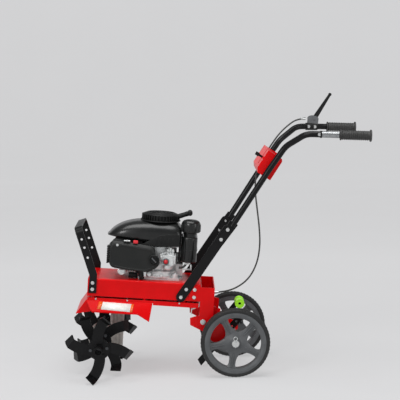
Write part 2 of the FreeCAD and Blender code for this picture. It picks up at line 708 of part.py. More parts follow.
def blower_shroud():
    """Domed cover over flywheel and cylinder, open below and at the recoil starter."""
    half = 88.0
    wall = 3.5
    rear = SHROUD_REAR
    side_view = [(-368, 286), (-360, 300), (-338, 321), (-305, 338), (-262, 350), (-112, 352),
                 (rear - 2, 330), (rear, 262), (-224, 268)]
    solid = plate_y(side_view, -half, half)
    plan = round_edges(box(-372, rear, -half, half, 240, 360), 70.0, lambda e: along(e, Z_AXIS))
    shell = solid.common(plan)
    inner_view = [(-362, 288), (-356, 297), (-336, 317), (-304, 334), (-262, 346.5), (-114, 348.5),
                  (rear - 5.5, 329), (rear - wall, 255), (-224, 255), (-340, 270)]
    inner = plate_y(inner_view, wall - half, half - wall)
    inner = inner.common(round_edges(box(-372 + wall, rear - wall, wall - half, half - wall, 240, 360),
                                     70.0 - wall, lambda e: along(e, Z_AXIS)))
    mouth = rod((CRANK_X, 0, 330), (CRANK_X, 0, 370), 60.0)
    return shell.cut(inner).cut(mouth)


def recoil_housing():
    """Low round starter cover with air slots, and the outlet that the handle rests in."""
    cup = revolve_z([(0, 370), (52, 370), (66, 366), (RECOIL_R, 357), (RECOIL_R, 352.1),
                     (60, 352.1), (58, 361), (0, 365)], CRANK_X, 0)
    slots = []
    for k in range(16):
        slot = box(CRANK_X + 34, CRANK_X + 56, -3, 3, 355, 375)
        slots.append(turned(slot, (CRANK_X, 0, 0), Z_AXIS, 22.5 * k))
    cup = cup.cut(Part.makeCompound(slots))
    start, aim = starter_axis()
    outlet = rod(start - aim * 26, start, 10.0)
    block = box(CRANK_X + 44, CRANK_X + 62, -28, -6, 353, 374)
    bore = rod(start - aim * 60, start + aim, 4.5)
    way_out = rod(start, start + aim * 60, 10.5)
    return fuse(cup, block, outlet).cut(bore).cut(way_out)


def starter_axis():
    """Where the starter handle rests against its outlet, and the way it is pulled."""
    start = V(-112, -17, 368)
    return start, V(53, 0, 20).normalize()


def starter_handle():
    """T-handle with the first stretch of its rope."""
    start, aim = starter_axis()
    low = start + aim * 0.4
    stem = rod(low, low + aim * 40, 7.5)
    middle = low + aim * 46
    across = rod(middle - Y_AXIS * 22, middle + Y_AXIS * 22, 9.5)
    rope = rod(low - aim * 40, low + aim * 2, 2.0)
    return fuse(stem, across, rope)


def fuel_tank():
    """Upright tank behind the engine, with the filler neck at its left end."""
    plan = round_edges(box(FUEL_X - 31, FUEL_X + 27, FUEL_Y - 31, -FUEL_Y + 31, 206, 300), 28.0,
                       lambda e: along(e, Z_AXIS))
    body = round_edges(plan, 6.0, lambda e: e.CenterOfMass.z > 299 or e.CenterOfMass.z < 207)
    neck = rod((FUEL_X, FUEL_Y, 295), (FUEL_X, FUEL_Y, 318), 22.0)
    hollow = round_edges(box(FUEL_X - 28, FUEL_X + 24, FUEL_Y - 28, -FUEL_Y + 28, 209, 297), 25.0,
                         lambda e: along(e, Z_AXIS))
    throat = rod((FUEL_X, FUEL_Y, 290), (FUEL_X, FUEL_Y, 320), 19.0)
    feet = [box(-95, -86, y, y + 18, 196, 212) for y in (-30, 10)]
    return fuse(body, neck, *feet).cut(hollow).cut(throat)


def fuel_cap():
    """Wide screw cap with finger ribs round a domed top."""
    top = revolve_z([(0, 364), (18, 363), (30, 358), (35, 350), (35, 318.6), (31, 316),
                     (22.4, 316), (22.4, 340), (0, 340)], FUEL_X, FUEL_Y)
    ribs = []
    for k in range(18):
        rib = box(FUEL_X + 34, FUEL_X + 36.6, FUEL_Y - 2, FUEL_Y + 2, 320, 348)
        ribs.append(turned(rib, (FUEL_X, FUEL_Y, 0), Z_AXIS, 20 * k))
    return fuse(top, *ribs)


def air_cleaner_box():
    """Large moulded box along the left side, with a louvred front end and a knob seat."""
    y0, y1 = -112.0, -68.0
    outline = [(AIR_BOX_FRONT, 266), (-352, 280), (-300, 273), (-240, 264), (-196, 254), (-186, 248),
               (-184, 240), (AIR_BOX_REAR, 226), (-170, 206), (-180, 186), (-214, 170),
               (-300, 176), (-352, 184), (AIR_BOX_FRONT, 200)]
    solid = plate_y(outline, y0, y1)
    hollow = plate_y([(-356, 262), (-346, 273), (-300, 266), (-214, 250), (-222, 180), (-300, 183),
                      (-346, 191), (-356, 204)], y0 + 4, y1 + 1)
    seat = rod((AIR_KNOB.x, y0 - 1, AIR_KNOB.z), (AIR_KNOB.x, y0 + 9, AIR_KNOB.z), 15.5)
    stem = rod((AIR_KNOB.x, y0 + 8, AIR_KNOB.z), (AIR_KNOB.x, y0 + 26, AIR_KNOB.z), 4.2)
    louvres = []
    for step in range(6):
        z0 = 202 + step * 11
        louvres.append(box(AIR_BOX_FRONT - 1, AIR_BOX_FRONT + 14, y0 + 8, y1 + 1, z0, z0 + 5))
    return solid.cut(Part.makeCompound([hollow, seat, stem] + louvres))


def air_cleaner_knob():
    """Round slotted knob that holds the air cleaner's cover."""
    y0 = -118.0
    disc = rod((AIR_KNOB.x, y0, AIR_KNOB.z), (AIR_KNOB.x, -104.5, AIR_KNOB.z), 15.0)
    bar = box(AIR_KNOB.x - 12, AIR_KNOB.x + 12, y0 - 5, y0 + 1, AIR_KNOB.z - 3, AIR_KNOB.z + 3)
    stem = rod((AIR_KNOB.x, -105, AIR_KNOB.z), (AIR_KNOB.x, -88, AIR_KNOB.z), 3.8)
    whole = fuse(disc, turned(bar, (AIR_KNOB.x, y0, AIR_KNOB.z), Y_AXIS, 45), stem)
    return whole


def carburettor():
    """Cast carburettor with its bowl, and the boss that the primer bulb sits in."""
    body = box(-166, -118, -88, -58, 192, 236)
    body = round_edges(body, 5.0, lambda e: along(e, Y_AXIS))
    bowl = rod((-140, -74, 178), (-140, -74, 193), 16.0)
    tower = box(-146, -120, -84, -62, 234, 258)
    throat = rod((-150, -77, 224), (-168.5, -77, 224), 10.0)
    inlet = box(-158, -128, -60, -48, 198, 226)
    boss = rod((PRIMER.x, -94, PRIMER.z), (PRIMER.x, -87, PRIMER.z), 11.0)
    seat = rod((PRIMER.x, -95, PRIMER.z), (PRIMER.x, -82, PRIMER.z), 8.3)
    case_room = rod((CRANK_X, 0, 150), (CRANK_X, 0, 262), CASE_R + 0.1)
    return fuse(body, bowl, tower, throat, inlet, boss).cut(seat).cut(case_room)


def primer_bulb():
    """Soft red bulb pressed to prime the carburettor."""
    dome = Part.makeSphere(8.0, V(PRIMER.x, -94, PRIMER.z))
    keep = box(PRIMER.x - 9, PRIMER.x + 9, -103, -94, PRIMER.z - 9, PRIMER.z + 9)
    return fuse(dome.common(keep), rod((PRIMER.x, -94, PRIMER.z), (PRIMER.x, -88, PRIMER.z), 8.0))


def muffler():
    """Pressed muffler on the right side, and the slotted guard outside it."""
    can = round_edges(box(-330, -236, 70, 104, 172, 232), 10.0, lambda e: along(e, Y_AXIS))
    pipe = rod((-292, 52.2, 200), (-292, 71, 200), 12.0)
    outlet = rod((-240, 87, 186), (-228, 87, 186), 8.0)
    plate = box(-338, -228, 108, 110.5, 164, 240)
    slots = []
    for step in range(5):
        x0 = -326 + step * 19
        slots.append(box(x0, x0 + 11, 107, 112, 176, 228))
    plate = plate.cut(Part.makeCompound(slots))
    roof = box(-338, -228, 60, 110.5, 237.5, 240)
    return group(fuse(can, pipe, outlet), fuse(plate, roof))


def spark_plug():
    """Plug in the front of the cylinder head with its rubber boot and lead."""
    front = -338.1
    elbow = front - 20
    body = rod((front, 0, 196), (front - 10, 0, 196), 9.0)
    boot = fuse(rod((front - 8, 0, 196), (elbow, 0, 196), 8.0), Part.makeSphere(8.0, V(elbow, 0, 196)),
                rod((elbow, 0, 196), (elbow, 0, 230), 6.5))
    lead = sweep(rounded_path([(elbow, 0, 228), (elbow, 0, 252), (-336, 24, 262), (-312, 40, 262)],
                              (10.0, 12.0)), 3.0)
    return fuse(body, boot, lead)


# ---- gearcase, worm drive and tines --------------------------------------------------
CASE_HALF_Y = 27.0
CASE_BOTTOM = -166.0
TINE_SHAFT_R = 12.0
WORM_SHAFT_R = 8.0
BEARING_WIDTH = 11.0


def gearcase():
    """Ribbed column that hangs from the deck and widens into the worm wheel's house."""
    top = 55.0
    column = box(WORM_X - 24, WORM_X + 23, -23, 23, CASE_BOTTOM, top)
    column = round_edges(column, 8.0, lambda e: along(e, Z_AXIS))
    ribs = []
    for y in (-22, -11, 0, 11, 22):
        ribs.append(box(WORM_X + 18, WORM_X + 26, y - 2, y + 2, CASE_BOTTOM + 8, top - 12))
    for x in (WORM_X - 16, WORM_X - 5, WORM_X + 6, WORM_X + 17):
        ribs.append(box(x - 2, x + 2, -CASE_HALF_Y + 1, CASE_HALF_Y - 1, CASE_BOTTOM + 8, top - 12))
    house = rod((TINE_X, -CASE_HALF_Y, TINE_Z), (TINE_X, CASE_HALF_Y, TINE_Z), 50.0)
    flange = rod((WORM_X, 0, top - 6), (WORM_X, 0, COVER_LOW - SHEET), 42.0)
    neck = rod((WORM_X, 0, COVER_LOW - SHEET), (WORM_X, 0, 84), 22.0)
    ends = []
    for side in (-1, 1):
        ends.append(rod((TINE_X, side * (CASE_HALF_Y - 1), TINE_Z),
                        (TINE_X, side * (CASE_HALF_Y + 11), TINE_Z), 24.0))
    solid = fuse(column, house, flange, neck, *ribs, *ends)
    wheel_room = rod((TINE_X, -13, TINE_Z), (TINE_X, 13, TINE_Z), 44.0)
    worm_room = rod((WORM_X, 0, TINE_Z - 42), (WORM_X, 0, TINE_Z + 42), 15.0)
    shaft_way = rod((WORM_X, 0, TINE_Z), (WORM_X, 0, 90), 10.0)
    across = rod((TINE_X, -60, TINE_Z), (TINE_X, 60, TINE_Z), 14.0)
    seats = []
    for z0 in (TINE_Z - 42 - BEARING_WIDTH, TINE_Z + 42, 70):
        seats.append(rod((WORM_X, 0, z0), (WORM_X, 0, z0 + BEARING_WIDTH), 14.0))
    for y0 in (-13 - BEARING_WIDTH, 13):
        seats.append(rod((TINE_X, y0, TINE_Z), (TINE_X, y0 + BEARING_WIDTH, TINE_Z), 20.0))
    return solid.cut(Part.makeCompound([wheel_room, worm_room, shaft_way, across] + seats))


def shaft_bearings():
    """Bearings of the worm shaft and the tine shaft, and the tine shaft's lip seals."""
    pieces = []
    for z0 in (TINE_Z - 42 - BEARING_WIDTH, TINE_Z + 42, 70):
        pieces.append(ring((WORM_X, 0, z0), (WORM_X, 0, z0 + BEARING_WIDTH), 14.0,
                           WORM_SHAFT_R + RUN_FIT))
    for side in (-1, 1):
        inner = side * 13.0
        outer = side * (13.0 + BEARING_WIDTH)
        pieces.append(ring((TINE_X, inner, TINE_Z), (TINE_X, outer, TINE_Z), 20.0,
                           TINE_SHAFT_R + RUN_FIT))
        seal = side * (CASE_HALF_Y + 4.0)
        pieces.append(ring((TINE_X, seal, TINE_Z), (TINE_X, seal + side * 7, TINE_Z), 14.0,
                           TINE_SHAFT_R + RUN_FIT))
    return group(*pieces)


def worm_shaft():
    """Upright shaft from the driven pulley to the worm, whose thread is a row of collars."""
    z_low = TINE_Z - 42 - BEARING_WIDTH + 1
    shaft = rod((WORM_X, 0, z_low), (WORM_X, 0, BELT_Z + 14), WORM_SHAFT_R)
    collars = []
    pitch = 5.75
    for k in range(-3, 5):
        z = TINE_Z + (k - 0.5) * pitch
        collars.append(revolve_z([(WORM_SHAFT_R - 0.5, z - 2.4), (WORM_R, z - 1), (WORM_R, z + 1),
                                  (WORM_SHAFT_R - 0.5, z + 2.4)], WORM_X, 0))
    return fuse(shaft, *collars)


def worm_wheel():
    """Bronze worm wheel, keyed to the tine shaft."""
    blank = ring((TINE_X, -9, TINE_Z), (TINE_X, 9, TINE_Z), WORM_WHEEL_R, TINE_SHAFT_R)
    gaps = []
    teeth = 40
    for k in range(teeth):
        gap = box(TINE_X + WORM_WHEEL_R - 4, TINE_X + WORM_WHEEL_R + 1, -10, 10, TINE_Z - 1.4,
                  TINE_Z + 1.4)
        gaps.append(turned(gap, (TINE_X, 0, TINE_Z), Y_AXIS, 360.0 * k / teeth))
    return blank.cut(Part.makeCompound(gaps))


PIN_YS = (-170.0, -52.0, 52.0, 170.0)


def tine_shaft():
    """Cross shaft, drilled at both ends for the pins of the outer tine sets."""
    half = 190.0
    shaft = rod((TINE_X, -half, TINE_Z), (TINE_X, half, TINE_Z), TINE_SHAFT_R)
    return shaft.cut(Part.makeCompound(pin_holes()))


def pin_holes():
    return [rod((TINE_X, y, TINE_Z - 20), (TINE_X, y, TINE_Z + 20), 3.4) for y in PIN_YS]


def blade(root_angle, y_face, fold_side):
    """One sickle blade: a strip bowed in its own plane, its tip folded sideways.

    It is drawn with its root pointing along +X from the shaft's centre, lying from
    y = 0 to its thickness, and is then turned and moved to its place.
    """
    half = BLADE_WIDTH / 2
    sweep_deg = math.degrees(2 * math.asin(TINE_TIP_R / (2 * BLADE_BOW_R)))
    tip_deg = math.degrees(BLADE_TIP / BLADE_BOW_R)
    root_deg = math.degrees(20.0 / BLADE_BOW_R)
    centre = (0, 0, -BLADE_BOW_R)

    def band(first, last):
        profile = [V(0, 0, half), V(0, 0, -half), V(0, BLADE_THICK, -half),
                   V(0, BLADE_THICK, half)]
        face = Part.Face(Part.makePolygon(profile + profile[:1]))
        face.rotate(V(*centre), Y_AXIS, first)
        return face.revolve(V(*centre), Y_AXIS, last - first)

    flat = band(root_deg, sweep_deg - tip_deg)
    tip = band(sweep_deg - tip_deg, sweep_deg)
    fold_at = math.radians(sweep_deg - tip_deg)
    radial = V(math.sin(fold_at), 0, math.cos(fold_at))
    fold_centre = V(*centre) + radial * BLADE_BOW_R + V(0, BLADE_THICK / 2, 0)
    tip.rotate(fold_centre, radial, fold_side * BLADE_FOLD)
    seam = rod(fold_centre - radial * half, fold_centre + radial * half, BLADE_THICK / 2)
    whole = fuse(flat, tip, seam)
    whole.rotate(V(0, 0, 0), Y_AXIS, -root_angle)
    whole.translate(V(TINE_X, y_face, TINE_Z))
    return whole


def tine_side(side):
    """The two tine sets of one side: hubs with flanges, four blades and bolts on each."""
    solids = []
    for plane, first_angle, hub_from, hub_to in (
            (INNER_SET_Y, 63.0, 41.5, 146.0), (OUTER_SET_Y, 18.0, 158.0, HUB_END_Y)):
        y_flange = side * plane
        hub = ring((TINE_X, side * hub_from, TINE_Z), (TINE_X, side * hub_to, TINE_Z), HUB_R,
                   TINE_SHAFT_R)
        plate = rod((TINE_X, y_flange - 2.5, TINE_Z), (TINE_X, y_flange + 2.5, TINE_Z), 40.0)
        plate = plate.cut(rod((TINE_X, y_flange - 3, TINE_Z), (TINE_X, y_flange + 3, TINE_Z), 14.0))
        solids.append(fuse(hub, plate).cut(Part.makeCompound(pin_holes())))
        for k in range(4):
            angle = first_angle + 90.0 * k
            outward = 1 if k % 2 == 0 else -1
            if outward > 0:
                y_face = y_flange + 2.5
            else:
                y_face = y_flange - 2.5 - BLADE_THICK
            solids.append(blade(angle, y_face, outward))
    return group(*solids)


def hitch_pins():
    """Cross pins with spring rings that lock the tine hubs to the shaft."""
    solids = []
    for y in PIN_YS:
        pin = rod((TINE_X, y, TINE_Z - 21), (TINE_X, y, TINE_Z + 21), 3.0)
        head = rod((TINE_X, y, TINE_Z + 21), (TINE_X, y, TINE_Z + 24), 6.0)
        solids.append(fuse(pin, head))
    return group(*solids)


# ---- wheels and carriage, in the ground's frame --------------------------------------
CARRIAGE_Y = 113.0
CARRIAGE_PLATE = 4.0
TIE = V(-74.0, 0, 134.0)
STAKE_DIRECTION = V(0.6723, 0, 0.7402)
STAKE_ACROSS = V(-0.7402, 0, 0.6723)
STAKE_FOOT = V(-130.5, 0, 15.9)
STAKE_WIDTH = 25.0
STAKE_THICK = 6.0
STAKE_LENGTH = 262.0
SLEEVE_FROM = 96.0
SLEEVE_TO = 142.0
LATCH_GRIP = V(21.6, 0, 249.3)
LATCH_Y = 10.0


def stake_point(reach, across):
    return STAKE_FOOT + STAKE_DIRECTION * reach + STAKE_ACROSS * across


def carriage_frame():
    """Two side plates joined by the pivot tube and a tie tube, bored for the axle."""
    p = PIVOT
    outline = [(p.x - 47, p.z + 14), (p.x - 22, p.z + 21), (p.x + 14, p.z + 22), (p.x + 60, p.z - 8),
               (8, 148), (20, 136), (20, 118), (8, 108), (-40, 106), (-84, 122), (p.x - 1, p.z - 37),
               (p.x - 47, p.z - 12)]
    plates = []
    for side in (-1, 1):
        y0, y1 = sorted((side * CARRIAGE_Y, side * (CARRIAGE_Y + CARRIAGE_PLATE)))
        plates.append(plate_y(outline, y0, y1))
    reach = CARRIAGE_Y + CARRIAGE_PLATE
    tube = rod((p.x, -reach, p.z), (p.x, reach, p.z), 13.0)
    tie = rod((TIE.x, -CARRIAGE_Y, TIE.z), (TIE.x, CARRIAGE_Y, TIE.z), 9.0)
    bosses = [rod((0, side * (CARRIAGE_Y - 10), WHEEL_R), (0, side * reach, WHEEL_R), 15.0)
              for side in (-1, 1)]
    body = fuse(*plates, tube, tie, *bosses)
    pivot_bore = rod((p.x, -reach - 1, p.z), (p.x, reach + 1, p.z), PIVOT_ROD_R + RUN_FIT)
    axle_bore = rod((0, -reach - 1, WHEEL_R), (0, reach + 1, WHEEL_R), AXLE_R)
    return body.cut(pivot_bore).cut(axle_bore)


def axle_rod():
    half = TRACK_HALF + 31
    axle = rod((0, -half, WHEEL_R), (0, half, WHEEL_R), AXLE_R)
    holes = [rod((0, side * (half - 4), WHEEL_R - 12), (0, side * (half - 4), WHEEL_R + 12), 2.2)
             for side in (-1, 1)]
    return axle.cut(Part.makeCompound(holes))


def axle_fittings():
    """Spacer sleeves inside each wheel, and the washer and hairpin outside it."""
    solids = []
    half = TRACK_HALF + 31
    for side in (-1, 1):
        inner = CARRIAGE_Y + CARRIAGE_PLATE + 0.2
        solids.append(ring((0, side * inner, WHEEL_R), (0, side * (TRACK_HALF - 23.4), WHEEL_R),
                           12.0, AXLE_R))
        solids.append(ring((0, side * (TRACK_HALF + 23.4), WHEEL_R),
                           (0, side * (TRACK_HALF + 25.0), WHEEL_R), 13.0, AXLE_R))
        y = side * (half - 4)
        pin = rod((0, y, WHEEL_R - 14), (0, y, WHEEL_R + 14), 1.8)
        loop = Part.makeTorus(7.0, 1.4, V(0, y, WHEEL_R + 19), Y_AXIS)
        solids.append(fuse(pin, loop))
    return group(*solids)


RIM_R = 112.0
SPOKE_COUNT = 5
SPOKE_AIM = -100.0


def wheel_rim(side):
    """Moulded five-spoke wheel with its bore running on the axle."""
    y0 = side * TRACK_HALF
    half = WHEEL_WIDTH / 2
    barrel = ring((0, y0 - half + 2, WHEEL_R), (0, y0 + half - 2, WHEEL_R), RIM_R, 97.0)
    web = rod((0, y0 - 6, WHEEL_R), (0, y0 + 6, WHEEL_R), 98.0)
    hub = rod((0, y0 - 23, WHEEL_R), (0, y0 + 23, WHEEL_R), 19.0)
    windows = []
    half_spoke = 12.0
    for k in range(SPOKE_COUNT):
        aim = SPOKE_AIM + 36.0 + 72.0 * k
        inner_r, outer_r = 40.0, 92.0
        spread_in = math.radians(36.0) - math.asin(half_spoke / inner_r)
        spread_out = math.radians(36.0) - math.asin(half_spoke / outer_r)
        a = [V(inner_r * math.sin(t), y0 - 8, inner_r * math.cos(t)) for t in (-spread_in, 0, spread_in)]
        b = [V(outer_r * math.sin(t), y0 - 8, outer_r * math.cos(t))
             for t in (-spread_out, 0, spread_out)]
        edges = [Part.Arc(*a).toShape(), Part.LineSegment(a[2], b[2]).toShape(),
                 Part.Arc(b[2], b[1], b[0]).toShape(), Part.LineSegment(b[0], a[0]).toShape()]
        window = Part.Face(Part.Wire(edges)).extrude(V(0, 16, 0))
        window = round_edges(window, 6.0, lambda e: along(e, Y_AXIS))
        window.rotate(V(0, 0, 0), Y_AXIS, 90.0 - aim)
        window.translate(V(0, 0, WHEEL_R))
        windows.append(window)
    bore = rod((0, y0 - 30, WHEEL_R), (0, y0 + 30, WHEEL_R), AXLE_R + RUN_FIT)
    return fuse(barrel, web, hub).cut(Part.makeCompound(windows + [bore]))


def tyre(side):
    y0 = side * TRACK_HALF
    half = WHEEL_WIDTH / 2
    profile = [(RIM_R, y0 - half + 2), (WHEEL_R - 9, y0 - half), (WHEEL_R - 2.5, y0 - half + 4),
               (WHEEL_R, y0 - 9), (WHEEL_R, y0 + 9), (WHEEL_R - 2.5, y0 + half - 4),
               (WHEEL_R - 9, y0 + half), (RIM_R, y0 + half - 2)]
    return revolve_y(profile, 0, WHEEL_R)


def stake_bracket():
    """Sleeve for the drag stake, carried below the tie tube."""
    def block(s0, s1, n0, n1, y):
        corners = [stake_point(s0, n0), stake_point(s1, n0), stake_point(s1, n1), stake_point(s0, n1)]
        return slab(corners, -y, y)

    sleeve = block(SLEEVE_FROM, SLEEVE_TO, -17, 17, 8.0)
    web = block(SLEEVE_FROM + 12, SLEEVE_TO, 16, 36, 4.0)
    collar = rod((TIE.x, -8, TIE.z), (TIE.x, 8, TIE.z), 14.0)
    slot = block(SLEEVE_FROM - 1, SLEEVE_TO + 1, -STAKE_WIDTH / 2 - 0.4, STAKE_WIDTH / 2 + 0.4,
                 STAKE_THICK / 2 + 0.4)
    tube_room = rod((TIE.x, -9, TIE.z), (TIE.x, 9, TIE.z), 9.0)
    thread = stake_point((SLEEVE_FROM + SLEEVE_TO) / 2, 0)
    screw_room = rod((thread.x, -9, thread.z), (thread.x, 0, thread.z), 4.0)
    return fuse(sleeve, web, collar).cut(Part.makeCompound([slot, tube_room, screw_room]))


def stake_clamp():
    """Hand screw that pinches the stake in its sleeve."""
    at = stake_point((SLEEVE_FROM + SLEEVE_TO) / 2, 0)
    screw = rod((at.x, -34, at.z), (at.x, -STAKE_THICK / 2 - 0.35, at.z), 4.0)
    knob = rod((at.x, -46, at.z), (at.x, -32, at.z), 13.0)
    return fuse(screw, knob)


def drag_stake():
    """Flat bar whose slanted foot bites the ground and holds the machine back."""
    half = STAKE_WIDTH / 2
    corners = [stake_point(-4.5, -half), stake_point(STAKE_LENGTH, -half),
               stake_point(STAKE_LENGTH, half), stake_point(4.5, half)]
    bar = slab(corners, -STAKE_THICK / 2, STAKE_THICK / 2)
    holes = []
    for reach in (160, 185, 210, 235):
        at = stake_point(reach, 0)
        holes.append(rod((at.x, -5, at.z), (at.x, 5, at.z), 4.2))
    return bar.cut(Part.makeCompound(holes))


def latch_lever():
    """Lever on the tie tube that frees the carriage; its grip sits on a cross pin."""
    y0, y1 = LATCH_Y, LATCH_Y + 6
    run = (LATCH_GRIP - TIE).normalize()
    half = V(-run.z, 0, run.x)
    arm = slab([TIE + half * 11, LATCH_GRIP + half * 9, LATCH_GRIP - half * 9, TIE - half * 11],
               y0, y1)
    hook = slab([TIE + V(-11, 0, 0), TIE + V(-24, 0, 40), TIE + V(-12, 0, 44), TIE + V(9, 0, 8)],
                y0, y1)
    hub = rod((TIE.x, y0 - 1.5, TIE.z), (TIE.x, y1 + 6, TIE.z), 15.0)
    end = rod((LATCH_GRIP.x, y0, LATCH_GRIP.z), (LATCH_GRIP.x, y1, LATCH_GRIP.z), 11.0)
    pin = rod((LATCH_GRIP.x, -56, LATCH_GRIP.z), (LATCH_GRIP.x, y0 + 1, LATCH_GRIP.z), 5.0)
    bore = rod((TIE.x, y0 - 3, TIE.z), (TIE.x, y1 + 8, TIE.z), 9.0 + RUN_FIT)
    return fuse(arm, hook, hub, end, pin).cut(bore)


def latch_grip():
    """Bright moulded grip pushed over the lever's pin."""
    c = LATCH_GRIP
    body = rod((c.x, -60, c.z), (c.x, 8, c.z), 14.5)
    flanges = [rod((c.x, -60, c.z), (c.x, -53, c.z), 17.5), rod((c.x, 2, c.z), (c.x, 9, c.z), 17.5)]
    bore = rod((c.x, -61, c.z), (c.x, 10, c.z), 5.0)
    return fuse(body, *flanges).cut(bore)


def stop_bracket():
    """Plated bracket under the front wall of the rear box that stops the carriage's nose."""
    outline = [(-18, 84), (-15, 84), (-15, 50), (-42, 38), (-42, 20), (-45, 20), (-45, 41), (-18, 53)]
    return plate_y(outline, -100, -64)


def pivot_rod():
    """Pivot of the wheel carriage, with a head outside each wall of the rear box."""
    out = HALF_WIDTH + SHEET
    pieces = [rod((0, -out - 1, 0), (0, out + 1, 0), PIVOT_ROD_R)]
    for side in (-1, 1):
        pieces.append(rod((0, side * out, 0), (0, side * (out + 5), 0), 10.0))
    return fuse(*pieces)


# ---- assembly ------------------------------------------------------------------------
def chassis_parts():
    return {
        "engine_deck": engine_deck(), "belt_cover": belt_cover(), "rear_box": rear_box(),
        "tine_shield": tine_shield(), "front_bail": front_bail(),
        "frame_bolts": frame_bolts(), "stop_bracket": stop_bracket(), "pivot_rod": pivot_rod(),
        "handle_bar_left": handle_bar(-1), "handle_bar_right": handle_bar(1),
        "handle_tube_left": handle_tube(-1), "handle_tube_right": handle_tube(1),
        "grip_left": grip(-1), "grip_right": grip(1), "console_panel": console_panel(),
        "throttle_lever": throttle_lever(), "clutch_bracket": clutch_bracket(),
        "clutch_lever": clutch_lever(), "clutch_cable": clutch_cable(),
        "crankcase": crankcase(), "cylinder_block": cylinder_block(), "piston": piston_and_rod(),
        "crankshaft": crankshaft(), "flywheel": flywheel(), "engine_pulley": engine_pulley(),
        "blower_shroud": blower_shroud(), "recoil_housing": recoil_housing(),
        "starter_handle": starter_handle(), "fuel_tank": fuel_tank(), "fuel_cap": fuel_cap(),
        "air_cleaner_box": air_cleaner_box(), "air_cleaner_knob": air_cleaner_knob(),
        "carburettor": carburettor(), "primer_bulb": primer_bulb(), "muffler": muffler(),
        "spark_plug": spark_plug(),
        "drive_belt": drive_belt(), "idler_arm": idler_arm(),
        "idler_pulley": idler_pulley(), "driven_pulley": driven_pulley(),
        "gearcase": gearcase(), "shaft_bearings": shaft_bearings(), "worm_shaft": worm_shaft(),
        "worm_wheel": worm_wheel(), "tine_shaft": tine_shaft(), "tines_left": tine_side(-1),
        "tines_right": tine_side(1), "hitch_pins": hitch_pins(),
    }


def carriage_parts():
    return {
        "carriage_frame": carriage_frame(), "axle_rod": axle_rod(), "axle_fittings": axle_fittings(),
        "wheel_rim_left": wheel_rim(-1), "wheel_rim_right": wheel_rim(1),
        "tyre_left": tyre(-1), "tyre_right": tyre(1), "stake_bracket": stake_bracket(),
        "stake_clamp": stake_clamp(), "drag_stake": drag_stake(), "latch_lever": latch_lever(),
        "latch_grip": latch_grip(),
    }


def build():
    """All sub-parts in the machine's own frame, at rest."""
    shift = V(ORIGIN_X, 0, 0)
    nodes = {}
    for name, shape in chassis_parts().items():
        shape.rotate(V(0, 0, 0), Y_AXIS, TILT)
        shape.translate(PIVOT + shift)
        nodes[name] = shape
    for name, shape in carriage_parts().items():
        shape.translate(shift)
        nodes[name] = shape
    return nodes


def main():
    os.makedirs("parts", exist_ok=True)
    for name, shape in build().items():
        shape.exportStep("parts/" + name + ".step")


main()
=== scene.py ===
"""Front-tine garden tiller: finishes, moulded engine covers, wheels and cable."""
import json
import math

import bmesh
import bpy
from mathutils import Matrix, Vector


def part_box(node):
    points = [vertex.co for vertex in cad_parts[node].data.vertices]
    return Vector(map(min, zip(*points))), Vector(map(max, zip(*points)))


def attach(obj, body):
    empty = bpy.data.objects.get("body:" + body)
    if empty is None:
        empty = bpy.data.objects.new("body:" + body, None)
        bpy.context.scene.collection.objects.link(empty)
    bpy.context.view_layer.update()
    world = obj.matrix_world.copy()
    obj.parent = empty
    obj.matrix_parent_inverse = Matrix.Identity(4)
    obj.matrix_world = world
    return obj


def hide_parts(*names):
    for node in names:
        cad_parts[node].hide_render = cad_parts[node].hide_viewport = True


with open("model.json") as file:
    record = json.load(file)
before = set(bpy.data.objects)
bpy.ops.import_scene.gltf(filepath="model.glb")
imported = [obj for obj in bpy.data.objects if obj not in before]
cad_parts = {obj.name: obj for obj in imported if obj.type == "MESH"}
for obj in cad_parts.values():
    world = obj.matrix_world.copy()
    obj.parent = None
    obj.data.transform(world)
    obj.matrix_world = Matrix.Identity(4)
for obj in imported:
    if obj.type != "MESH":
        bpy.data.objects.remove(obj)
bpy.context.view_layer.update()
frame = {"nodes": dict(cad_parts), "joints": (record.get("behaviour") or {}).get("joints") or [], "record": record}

MM = 0.001
NODES = frame["nodes"]
JOINTS = {joint["name"]: joint for joint in frame["joints"]}
BODY_OF = {node: body for body, nodes in frame["record"]["behaviour"]["bodies"].items()
           for node in nodes}
SLOT_OF = {part["node"]: part["material_slot"] for part in frame["record"]["subparts"]}

# The chassis leans back about the carriage's pivot. Its pieces are drawn square and in
# millimetres, with the pivot as their origin, and are then leant by this transform.
PIVOT = Vector(JOINTS["carriage_swing"]["pos_m"])
CRANK_AXIS = Vector(JOINTS["engine_spin"]["axis"])
LEAN = math.atan2(CRANK_AXIS.x, CRANK_AXIS.z)
CHASSIS = Matrix.Translation(PIVOT) @ Matrix.Rotation(LEAN, 4, "Y") @ Matrix.Scale(MM, 4)


# ---- materials -----------------------------------------------------------------------
def linear(hex_colour):
    """An sRGB hex colour as linear RGBA."""
    shares = [int(hex_colour[i:i + 2], 16) / 255 for i in (0, 2, 4)]
    return tuple(c / 12.92 if c <= 0.04045 else ((c + 0.055) / 1.055) ** 2.4
                 for c in shares) + (1.0,)


def add(tree, kind, inputs=None, **settings):
    """Adds a node; each input takes a plain value or another node's output."""
    node = tree.nodes.new("ShaderNode" + kind)
    for name, value in settings.items():
        setattr(node, name, value)
    for name, value in (inputs or {}).items():
        if isinstance(value, bpy.types.NodeSocket):
            tree.links.new(value, node.inputs[name])
        else:
            node.inputs[name].default_value = value
    return node


